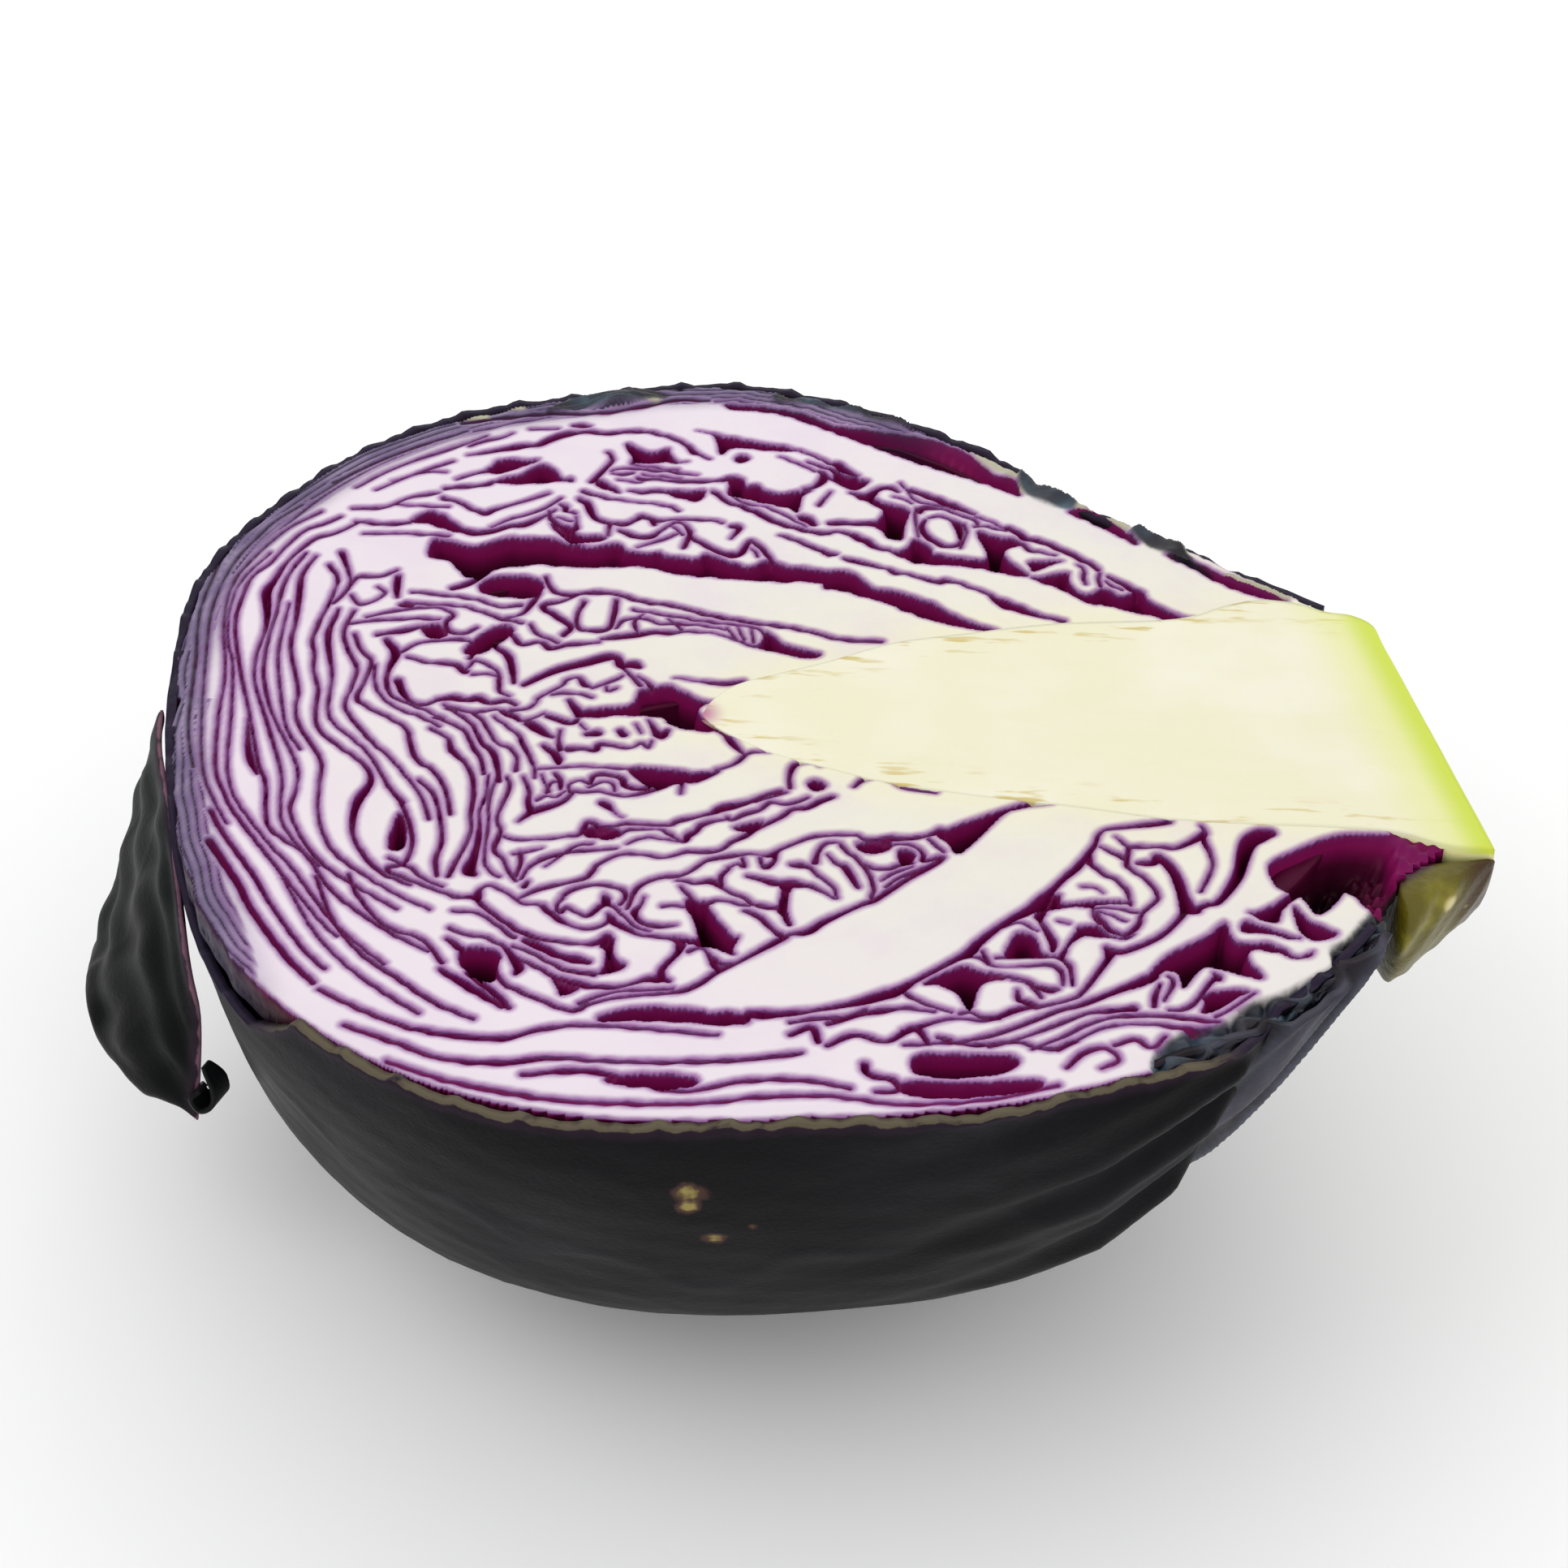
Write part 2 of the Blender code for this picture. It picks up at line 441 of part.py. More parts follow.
def shellFaces(outer, inner):
    """A closed sheet between two grids of points alike, split into the same triangles."""
    rows, columns = outer.shape[:2]
    points = np.vstack([outer.reshape(-1, 3), inner.reshape(-1, 3)])
    faces = []

    def quad(a, b, c, d):
        faces.extend([(a, b, c), (a, c, d)])

    def at(i, j, sheet):
        return (sheet * rows + i) * columns + j

    for i in range(rows - 1):
        for j in range(columns - 1):
            quad(at(i, j, 0), at(i, j + 1, 0), at(i + 1, j + 1, 0), at(i + 1, j, 0))
            quad(at(i, j, 1), at(i, j + 1, 1), at(i + 1, j + 1, 1), at(i + 1, j, 1))
    for i in range(rows - 1):
        for j in (0, columns - 1):
            quad(at(i, j, 0), at(i + 1, j, 0), at(i + 1, j, 1), at(i, j, 1))
    for j in range(columns - 1):
        for i in (0, rows - 1):
            quad(at(i, j, 0), at(i, j + 1, 0), at(i, j + 1, 1), at(i, j, 1))
    return points, faces


def stalkSolid():
    """The stalk: its two edges carried round under the cut face, ending in the slanted cut."""
    stations = [(x, x, far, near) for x, far, near in STALK_EDGES]
    (farX, farY), (nearX, nearY) = STEM_END
    stations.append((farX, nearX, farY, nearY))
    rings = []
    for farStart, nearStart, far, near in stations:
        ring = []
        for turn in BOWL_TURNS:
            share = 0.45 * (turn / BOWL_TURNS[-1]) ** 2
            ring.append((farStart, far + (-near - far) * share, turn))
        ring += [(nearStart, near, turn) for turn in reversed(BOWL_TURNS)]
        placed = [under(np.array(x), np.array(y), math.radians(turn)) for x, y, turn in ring]
        if nearStart != farStart:
            for point in placed:
                point[0] = farX + (nearX - farX) * (farY - point[1]) / (farY - nearY)
        rings.append(placed)
    points = np.array(rings).reshape(-1, 3)
    size = len(rings[0])
    faces = [tuple(range(size)), tuple(len(points) - 1 - k for k in range(size))]
    for i in range(len(rings) - 1):
        for k in range(size):
            a, b = i * size + k, i * size + (k + 1) % size
            faces += [(a, b, b + size), (a, b + size, a + size)]
    return points, faces


def stubSolid():
    """The leaf base: a wedge that wraps the stalk's near side, close against it."""
    outer, inner = [], []
    for x, radius in STUB_RADII:
        stalk = -STEM_END[1][1] + BASE_GAP
        hollow = max(stalk, radius - STUB_THICKNESS)
        for sheet, reach in ((outer, radius), (inner, hollow)):
            sheet.append([under(np.array(x), np.array(-reach), math.radians(turn))
                          for turn in STUB_TURNS])
    return shellFaces(np.array(outer), np.array(inner))


def outlineWithSides(outline):
    """STATIONS even points of an outline as x and distance from the axis, with their normals."""
    drawn = [(x, abs(distance)) for x, distance in outline]
    line = smoothLine(drawn, SPACING)
    share = np.linspace(0, len(line) - 1, STATIONS)
    even = np.stack([np.interp(share, np.arange(len(line)), line[:, k]) for k in (0, 1)], 1)
    slope = headings(even)
    return even, np.stack([slope[:, 1], -slope[:, 0]], 1)


def backSurface(angles, lift):
    """The head's rounded back: its far, near and under outlines joined by rounded rings.

    The angles and the lift, the distance outwards from the drawn form, are given for every
    point, one row a station. The rings turn from ellipses to straighter ones at the stem."""
    far, farNormal = outlineWithSides(FAR_OUTLINE)
    near, nearNormal = outlineWithSides(NEAR_OUTLINE)
    below, belowNormal = outlineWithSides(UNDER_OUTLINE)
    turn = np.radians(angles)
    across, down = np.cos(turn), np.sin(turn)
    isFar = across >= 0
    sideX = np.where(isFar, far[:, :1] + lift * farNormal[:, :1], near[:, :1] + lift * nearNormal[:, :1])
    sideY = np.where(isFar, far[:, 1:] + lift * farNormal[:, 1:], near[:, 1:] + lift * nearNormal[:, 1:])
    belowX = below[:, :1] + lift * belowNormal[:, :1]
    depth = below[:, 1:] + lift * belowNormal[:, 1:]
    power = np.where(isFar, 2.0, np.interp(below[:, :1], *zip(*ROUND_POWER)))
    x = sideX * across ** 2 + belowX * down ** 2
    y = np.sign(across) * np.maximum(sideY, 0) * np.abs(across) ** (2 / power)
    z = -np.maximum(depth, 0) * np.maximum(down, 0) ** (2 / power)
    return np.stack([x, y, z], -1)


def waves(angles):
    """Low ridges from the stem over the back, dying out towards both ends."""
    length = np.sin(np.linspace(0, math.pi, STATIONS))[:, None]
    return WAVE_HEIGHT * length * np.cos(np.radians(WAVE_COUNT * angles))


def wrapperSolid():
    """The wrapper leaf that holds the whole back, flat where the cabbage rests."""
    near, _ = outlineWithSides(NEAR_OUTLINE)
    drop = np.interp(near[:, 0], *zip(*RIM_DROP))[:, None]
    angles = np.linspace(0, 1, BACK_ANGLES + 1)[None, :] * (180 - drop)
    beside = np.clip((near[:, :1] - STEM_LEAF_X[1] + 8) / 6, 0, 1)
    covered = beside * np.clip((angles - STEM_LEAF_ANGLES[0] + 14) / 9, 0, 1)
    lift = waves(angles) * (1 - covered) - STEM_LEAF_SINK * covered
    outer = backSurface(angles, lift)
    inner = backSurface(angles, lift - WRAPPER_THICKNESS)
    outer[..., 2] = np.maximum(outer[..., 2], -CUT_HEIGHT)
    inner[..., 2] = np.maximum(inner[..., 2], WRAPPER_THICKNESS - CUT_HEIGHT)
    return shellFaces(outer, inner)


def stemLeafSolid():
    """The short outer leaf beside the stem, pleated towards it."""
    near, _ = outlineWithSides(NEAR_OUTLINE)
    rows = np.flatnonzero((near[:, 0] <= STEM_LEAF_X[0]) & (near[:, 0] >= STEM_LEAF_X[1]))
    angles = np.tile(np.linspace(*STEM_LEAF_ANGLES, BACK_ANGLES - 2), (STATIONS, 1))
    pleats = 0.4 * np.cos(np.radians(angles * 2.2 * WAVE_COUNT))
    lift = pleats - 0.4
    outer = backSurface(angles, lift)[rows]
    inner = backSurface(angles, lift - 1.2)[rows]
    return shellFaces(outer, inner)


def looseLeafSolid():
    """The loose leaf: a sheet smooth both ways through its drawn rows of points."""
    rows = np.array([sample(smoothCurve(row), 13) for row in LOOSE_LEAF])
    grid = np.array([sample(smoothCurve(column), 9) for column in rows.transpose(1, 0, 2)])
    across = np.gradient(grid, axis=0)
    down = np.gradient(grid, axis=1)
    normal = np.cross(across, down)
    normal *= LOOSE_THICKNESS / 2 / np.linalg.norm(normal, axis=2, keepdims=True)
    return shellFaces(grid + normal, grid - normal)


def buildLeaves(materials):
    """Every leaf of the head, its section first pressed into its place among the others."""
    lines = {name: sectionLine(points) for name, points in WHOLE_LEAVES.items()}
    lines["heart_leaf"] = smoothLine(HEART_LEAF, SPACING)
    depths = {"heart_leaf": 2}
    for name, (first, second, folds, thickness, depth) in FOLDED_LEAVES.items():
        lines[name] = meander((first, second), folds, thickness)
        depths[name] = depth
    for name, line in pressTogether(lines).items():
        if name in WHOLE_LEAVES:
            line = thinOut(line, BOWL_STEP, BOWL_BEND)
            turns = BOWL_TURNS
        else:
            line = thinOut(line, FOLD_STEP, FOLD_BEND)
            turns = BOWL_TURNS[:depths[name] + 1]
        rooted = name in WHOLE_LEAVES and insideStalk(line[:1])[0]
        makeObject(name, *leafSolid(line, turns, rooted), materials["flesh" if rooted else "layer"])


def buildCabbage():
    clearScene()
    materials = {name: makeMaterial(name) for name in COLOURS}
    makeObject("stalk", *stalkSolid(), materials["core"])
    makeObject("leaf_base_stub", *stubSolid(), materials["stub"])
    makeObject("wrapper_leaf_near", *wrapperSolid(), materials["wrapper"])
    makeObject("wrapper_leaf_stem", *stemLeafSolid(), materials["wrapper"])
    makeObject("loose_leaf", *looseLeafSolid(), materials["wrapper"])
    buildLeaves(materials)


buildCabbage()
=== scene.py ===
# Half a red cabbage, cut lengthwise, lying on its back with the cut face up.
# Drawn numbers are millimetres in the cut face: x along the stalk towards its cut end, y towards
# the far side, z counted up from the cut. makePiece turns them into metres on the table.
import math

import bpy
import mathutils
import numpy as np
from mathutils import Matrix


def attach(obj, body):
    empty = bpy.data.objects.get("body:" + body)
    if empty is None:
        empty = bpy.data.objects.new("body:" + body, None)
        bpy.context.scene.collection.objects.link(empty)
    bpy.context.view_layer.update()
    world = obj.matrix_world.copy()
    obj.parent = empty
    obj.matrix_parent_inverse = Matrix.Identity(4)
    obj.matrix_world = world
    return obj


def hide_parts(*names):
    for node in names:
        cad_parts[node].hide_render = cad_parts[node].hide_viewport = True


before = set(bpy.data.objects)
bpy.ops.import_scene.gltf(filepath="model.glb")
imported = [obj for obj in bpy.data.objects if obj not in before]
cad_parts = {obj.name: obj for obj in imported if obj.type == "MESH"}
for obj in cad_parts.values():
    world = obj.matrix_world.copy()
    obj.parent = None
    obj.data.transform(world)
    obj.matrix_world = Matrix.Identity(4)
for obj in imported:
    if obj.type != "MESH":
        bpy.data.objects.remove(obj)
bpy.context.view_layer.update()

head = {
    "cutHeight": 77.5,       # the cut face above the table
    "restX": -9.0,           # the spot it rests on, seen in the cut face
    "restY": 0.0,
    "tipX": -12.0,           # the growing tip
    "depthShare": 0.92,      # how deep a leaf's bowl is beside its reach in the cut
    "blade": 1.1,            # thickness of a leaf away from its rib
}
innerSheet = {               # the curved sheets that show inside the deep gaps
    "lift": -2.2,            # their tops under the cut
    "width": 0.5,            # their share of a leaf's drawn width
    "reach": 38,             # how far they go down and round under the head, in degrees
    "levels": 5,
    "ripple": 0.5,
}


def runOf(line):
    # distance along a line up to each of its points
    return np.r_[0, np.cumsum(np.hypot(*np.diff(line[:, :2], axis=0).T))]


def smoothCurve(points, gap, closed=False):
    # Catmull-Rom through drawn points, then one point every gap mm measured in x and y
    knots = np.array(points, float)
    if closed:
        padded = np.vstack([knots[-1:], knots, knots[:2]])
    else:
        padded = np.vstack([2 * knots[0] - knots[1], knots, 2 * knots[-1] - knots[-2]])
    t = np.linspace(0, 1, 16, endpoint=False)[None, :, None]
    before, start, end, after = (padded[k:len(padded) - 3 + k, None] for k in range(4))
    curve = 0.5 * (2 * start + (end - before) * t
                   + (2 * before - 5 * start + 4 * end - after) * t ** 2
                   + (3 * start - before - 3 * end + after) * t ** 3)
    last = knots[:1] if closed else knots[-1:]
    curve = np.vstack([curve.reshape(-1, knots.shape[1]), last])
    run = runOf(curve)
    count = max(3, int(round(run[-1] / gap)) + 1)
    stops = np.linspace(0, run[-1], count)
    return np.stack([np.interp(stops, run, column) for column in curve.T], 1)


def sideways(line):
    # unit vectors across a line, to its left
    slope = np.gradient(line[:, :2], axis=0)
    slope /= np.maximum(np.hypot(slope[:, 0], slope[:, 1]), 1e-9)[:, None]
    return np.stack([-slope[:, 1], slope[:, 0]], 1)


def step(low, high, value):
    # smooth step: 0 below low, 1 above high, 3t^2 - 2t^3 between
    t = np.clip((value - low) / (high - low), 0, 1)
    return t * t * (3 - 2 * t)


def sway(seed, waves, *axes):
    # sum of sines with seeded directions and phases, about -1 to 1, over one or two coordinates
    rng = np.random.default_rng(seed)
    total = 0
    for length, share in waves:
        turns = rng.uniform(0.7, 1.3, len(axes)) * rng.choice((-1, 1), len(axes)) / length
        total = total + share * np.sin(2 * np.pi * (sum(a * t for a, t in zip(axes, turns)) + rng.random()))
    return total


def under(x, y, turn):
    # carries a point of the cut down and round under the head: beside the stalk about the
    # stalk's axis, beyond the tip in the upright plane through the tip
    left = np.minimum(x - head["tipX"], 0)
    right = np.maximum(x - head["tipX"], 0)
    return np.stack([head["tipX"] + left * np.cos(turn) + right, y * np.cos(turn),
                     -head["depthShare"] * np.hypot(left, y) * np.sin(turn)], -1)


def stalkEdge(x, side):
    edge = np.array(stalk["edges"])
    return np.interp(x, edge[:, 0], edge[:, 1 if side > 0 else 2])


def fromStalk(x, y):
    # distance in mm from the stalk's outline in the cut face
    beside = np.where(y > 0, y - stalkEdge(x, 1), stalkEdge(x, -1) - y)
    beyond = np.maximum(-13 - x, 0)
    return np.hypot(np.maximum(beside, 0), beyond)


def rimShare(x, y):
    # distance from the tip as a share of the outline's distance on the same ray, and that distance
    angle = np.arctan2(y, x - head["tipX"])
    rim = np.vstack([wrapper["far"][::-1], wrapper["near"]])[:, :2].astype(float)
    bearing = np.arctan2(rim[:, 1], rim[:, 0] - head["tipX"])
    order = np.argsort(bearing)
    reach = np.interp(angle, bearing[order], np.hypot(rim[:, 0] - head["tipX"], rim[:, 1])[order])
    return np.hypot(x - head["tipX"], y) / reach, reach


def outerness(x, y):
    # 0 in the head and near its near rim, 1 where the blue outermost leaves reach the outline
    share, _ = rimShare(x, y)
    nearSide = step(-72, -58, x) * step(-16, -40, y)
    return step(0.885, 0.985, share) * (1 - 0.85 * nearSide) * step(24, 6, x)


def grid(points, **marks):
    return {"points": points, "marks": marks}


def gridFaces(rows, columns, first):
    # four-sided faces between the rows, each row closed to a ring
    index = first + np.arange(rows * columns).reshape(rows, columns)
    index = np.hstack([index, index[:, :1]])
    return np.stack([index[:-1, :-1], index[:-1, 1:], index[1:, 1:], index[1:, :-1]], -1).reshape(-1, 4)


def makePiece(name, nodes, material, grids):
    # one mesh from several grids of points in face mm, with their marks as point attributes; only
    # a grid's first set of faces is shaded soft
    points = np.vstack([g["points"].reshape(-1, 3) for g in grids])
    faces, sizes, soft, first = [], [], [], 0
    for g in grids:
        rows, columns = g["points"].shape[:2]
        made = [f + first for f in g["faces"]] if "faces" in g else [gridFaces(rows, columns, first)]
        faces += [f.ravel() for f in made]
        sizes += [np.full(len(f), f.shape[1]) for f in made]
        soft += [np.full(len(f), k == 0) for k, f in enumerate(made)]
        first += rows * columns
    faces, sizes = np.concatenate(faces), np.concatenate(sizes)
    placed = (points + [-head["restX"], -head["restY"], head["cutHeight"]]) * 0.001
    mesh = bpy.data.meshes.new(name)
    mesh.vertices.add(len(placed))
    mesh.vertices.foreach_set("co", placed.astype(np.float32).ravel())
    mesh.loops.add(faces.size)
    mesh.loops.foreach_set("vertex_index", faces.astype(np.int32))
    mesh.polygons.add(len(sizes))
    mesh.polygons.foreach_set("loop_start", np.r_[0, np.cumsum(sizes)[:-1]].astype(np.int32))
    for mark in grids[0]["marks"]:
        values = np.concatenate([np.broadcast_to(g["marks"][mark], g["points"].shape[:2]).ravel()
                                 for g in grids])
        attribute = mesh.attributes.new(mark, "FLOAT", "POINT")
        attribute.data.foreach_set("value", values.astype(np.float32))
    mesh.update(calc_edges=True)
    mesh.polygons.foreach_set("use_smooth", np.concatenate(soft))
    if not all(s.all() for s in soft):
        # keeps the flat walls out of the soft faces' shading
        corners = np.empty(len(mesh.loops) * 3, np.float32)
        mesh.corner_normals.foreach_get("vector", corners)
        mesh.normals_split_custom_set(corners.reshape(-1, 3))
    mesh.materials.append(material)
    piece = bpy.data.objects.new(name, mesh)
    bpy.context.scene.collection.objects.link(piece)
    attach(piece, "root")
    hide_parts(*nodes)
    return piece


def ribbon(line, seed):
    # one leaf's curved sheet under its cut: a nearly flat top with rounded arrises, and down both
    # sides walls that follow under(), rippling more the deeper they go; closed underneath
    run = runOf(line)
    half = line[:, 2] / 2
    for away in (run, run[-1] - run):
        tip = max(half.max() * 0.9, 0.6)
        half = half * np.sqrt(np.clip(1 - (1 - np.clip(away / tip, 0.02, 1)) ** 2, 0, 1))
    normal = sideways(line)
    arris = np.minimum(0.22, half * 0.3)
    inset = np.minimum(0.9, half * 0.62)
    offsets = np.stack([half, half - arris, half - inset, 0 * half, inset - half, arris - half, -half], 1)
    fromEdge = half[:, None] - np.abs(offsets)
    height = (innerSheet["lift"] + 0.07 * sway(seed, ((9, 0.6), (23, 0.6)), run))[:, None] \
        - 0.26 * np.exp(-fromEdge / 0.12)
    cap = np.concatenate([line[:, None, :2] + offsets[:, :, None] * normal[:, None], height[..., None]], 2)
    levels = innerSheet["levels"]
    turns = np.radians(innerSheet["reach"]) * (np.arange(1, levels + 1) / levels) ** 1.6
    walls = []
    for side in (1, -1):
        rings = []
        for k, turn in enumerate(turns):
            thin = head["blade"] / 2
            width = np.where(half > thin, thin + (half - thin) * np.cos(turn) ** 3, half)
            drift = sway(seed + side, ((7, 0.5), (17, 0.5)), run, np.full(len(run), k * 3.0))
            drift = innerSheet["ripple"] * (k + 1) / levels * drift
            edge = line[:, :2] + (side * width + drift)[:, None] * normal
            rings.append(under(edge[:, 0], edge[:, 1], turn) + [0, 0, innerSheet["lift"]])
        walls.append(np.stack(rings, 1))
    points = np.concatenate([walls[0][:, ::-1], cap, walls[1]], 1)
    x, y = line[:, 0], line[:, 1]
    # depth 4.5 gives these sheets the mid-dark painted shade of the gap walls
    return grid(points, rind=-1, depth=4.5, away=fromStalk(x, y)[:, None], outer=outerness(x, y)[:, None],
                skin=0, pale=0)


def nearby(x, y, line, margin):
    # the points within a margin of the box round a line
    low, high = line[:, :2].min(0) - margin, line[:, :2].max(0) + margin
    return (x > low[0]) & (x < high[0]) & (y > low[1]) & (y < high[1])


def edgeDistance(x, y, outline):
    # distance in mm to a closed outline, below 0 inside it: nearest drawn point, and the count of
    # outline sides that a ray crosses
    line = smoothCurve(outline, 0.4, closed=True)[:, :2]
    away = np.full(x.shape, 9.0)
    here = nearby(x, y, line, 2.2)
    if here.any():
        px, py = x[here][:, None], y[here][:, None]
        ax, ay, bx, by = (v[None, :] for v in (*line[:-1].T, *line[1:].T))
        near = np.hypot(px - ax, py - ay).min(axis=1)
        crossingX = ax + (py - ay) / np.where(by == ay, 1e-9, by - ay) * (bx - ax)
        crossings = (((ay > py) != (by > py)) & (px < crossingX)).sum(axis=1)
        away[here] = np.where(crossings % 2 == 1, -near, near)
    return away


def gapClearance(x, y):
    # distance in mm to the nearest drawn gap's edge, below 0 inside a gap or a pocket
    clear = np.full(x.shape, 2.2)
    for points in drawing["gaps"]:
        line = smoothCurve(points, 0.25)
        here = nearby(x, y, line, 2.6)
        if here.any():
            px, py = x[here], y[here]
            away = np.full(px.shape, 9.0)
            for part in np.array_split(line, max(1, len(line) // 40)):
                apart = np.hypot(px[:, None] - part[None, :, 0], py[:, None] - part[None, :, 1])
                away = np.minimum(away, (apart - part[None, :, 2] / 2).min(axis=1))
            clear[here] = np.minimum(clear[here], away)
    for points in drawing["pockets"]:
        clear = np.minimum(clear, edgeDistance(x, y, points))
    return clear


def colour(text):
    # an sRGB hex colour as linear light
    parts = [int(text[k:k + 2], 16) / 255 for k in (1, 3, 5)]
    return (*[p / 12.92 if p <= 0.04045 else ((p + 0.055) / 1.055) ** 2.4 for p in parts], 1)


def addNode(tree, kind, links=None, stops=None, **settings):
    # one node with its settings, its sockets' values or links, and a ramp's stops
    made = tree.nodes.new(kind)
    for name, value in settings.items():
        setattr(made, name, value)
    for socket, value in (links or {}).items():
        if isinstance(value, bpy.types.NodeSocket):
            tree.links.new(value, made.inputs[socket])
        else:
            made.inputs[socket].default_value = value
    if stops:
        ramp = made.color_ramp.elements
        for k, (place, tint) in enumerate(stops):
            stop = ramp[k] if k < 2 else ramp.new(place)
            stop.position = place
            stop.color = colour(tint)
    return made


def newMaterial(name, roughness, coat=0.0, soft=0.0):
    # a new material with its node tree, its shader and the place on the object
    material = bpy.data.materials.new(name)
    material.use_nodes = True
    tree = material.node_tree
    shader = tree.nodes["Principled BSDF"]
    for socket, value in {"Roughness": roughness, "Coat Weight": coat, "Coat Roughness": 0.25,
                          "Subsurface Weight": soft, "Subsurface Radius": (1.0, 0.5, 0.6),
                          "Subsurface Scale": 0.0015}.items():
        shader.inputs[socket].default_value = value
    return material, tree, shader, addNode(tree, "ShaderNodeTexCoord").outputs["Object"]


def noise(tree, place, scale, detail):
    return addNode(tree, "ShaderNodeTexNoise", {"Vector": place, "Scale": scale, "Detail": detail}).outputs[0]


def mathOf(tree, operation, *values):
    return addNode(tree, "ShaderNodeMath", dict(enumerate(values)), operation=operation).outputs[0]


def rampOf(tree, value, *stops):
    return addNode(tree, "ShaderNodeValToRGB", {0: value}, stops=stops).outputs[0]


def smoothRange(tree, value, low, high, atLow=0.0, atHigh=1.0, way="SMOOTHSTEP"):
    return addNode(tree, "ShaderNodeMapRange", {0: value, 1: low, 2: high, 3: atLow, 4: atHigh},
                   interpolation_type=way).outputs[0]


def blendOf(tree, share, first, second):
    return addNode(tree, "ShaderNodeMix", {0: share, 6: first, 7: second}, data_type="RGBA").outputs[2]


def tinted(tree, base, tint, value, low, high, atLow=0.0, atHigh=1.0):
    # a base colour that turns to a tint as a value goes from low to high
    return blendOf(tree, smoothRange(tree, value, low, high, atLow, atHigh), base, colour(tint))


def marksOf(tree, *names):
    return [addNode(tree, "ShaderNodeAttribute", attribute_name=name).outputs["Fac"] for name in names]


def connect(tree, shader, base, strength, distance, relief):
    # a material's colour, and a bump of so much strength and metres of height from its relief
    tree.links.new(base, shader.inputs["Base Color"])
    bump = addNode(tree, "ShaderNodeBump", {"Strength": strength, "Distance": distance, "Height": relief})
    tree.links.new(bump.outputs[0], shader.inputs["Normal"])


def cutLeafMaterial(name):
    # Raw cut cabbage leaf: moist, crisp flesh, cream at the base and white to lilac outwards, with
    # the purple skin as a 0.2 to 0.4 mm line along each cut edge and as magenta walls in the gaps.
    # The walls are painted darker the deeper they lie, to near black at 9 mm, as painted shade in the gaps.
    # Where the marks say skin it is bare outer skin, nearly black with blue-grey wax bloom, and its
    # paler blue-grey patches are partly painted highlight.
    material, tree, shader, place = newMaterial(name, 0.42)
    patches, grain = noise(tree, place, 90, 3), noise(tree, place, 900, 2)
    rind, depth, away, outer, pale, bare = marksOf(tree, "rind", "depth", "away", "outer", "pale", "skin")
    edge = mathOf(tree, "ADD", rind, mathOf(tree, "MULTIPLY_ADD", grain, 0.24, -0.12))
    flesh = rampOf(tree, smoothRange(tree, away, 0, 60, way="LINEAR"),
                   (0.0, "#e2dec2"), (1.0, "#e0d5dd"), (0.12, "#e0dccd"), (0.4, "#dedad3"))
    flesh = tinted(tree, flesh, "#d6c4d6", patches, 0.42, 0.72, 0, 0.3)
    blue = tinted(tree, colour("#57456c"), "#a997b3", patches, 0.35, 0.65)
    flesh = blendOf(tree, smoothRange(tree, outer, 0.05, 0.8, 0, 0.85), flesh, blue)
    halo = blendOf(tree, outer, colour("#872d90"), colour("#4b3764"))
    flesh = blendOf(tree, smoothRange(tree, edge, 0.0, 1.15, 0.9, 0.0), flesh, halo)
    skinLine = tinted(tree, colour("#5b1a5e"), "#241b33", outer, 0.1, 0.8)
    flesh = blendOf(tree, smoothRange(tree, edge, 0.02, 0.2, 1.0, 0.0), flesh, skinLine)
    flesh = blendOf(tree, pale, flesh, colour("#aca88f"))
    # gap walls: the skin colour is painted darker with depth under the cut, from magenta to near black, as painted
    # shade
    skin = rampOf(tree, smoothRange(tree, depth, 0, 9, way="LINEAR"),
                  (0.0, "#67124f"), (1.0, "#16020a"), (0.22, "#7f1050"), (0.5, "#480829"))
    skin = tinted(tree, skin, "#241a36", outer, 0.2, 1.0, 0, 0.75)
    final = blendOf(tree, smoothRange(tree, rind, 0.05, -0.07), flesh, skin)
    # bare outer skin: near black with wax bloom; the paler blue-grey patches are partly painted highlight
    bareSkinWaxAndSheen = rampOf(tree, patches, (0.38, "#0b090d"), (0.72, "#4b6472"), (0.5, "#1a1620"), (0.6, "#27303c"))
    final = blendOf(tree, bare, final, bareSkinWaxAndSheen)
    tree.links.new(smoothRange(tree, rind, -0.07, 0.05, 0.08, 0.35), shader.inputs["Specular IOR Level"])
    tree.links.new(smoothRange(tree, grain, 0.3, 0.7, 0.34, 0.52, "LINEAR"), shader.inputs["Roughness"])
    connect(tree, shader, final, 0.25, 0.0002, grain)
    return material


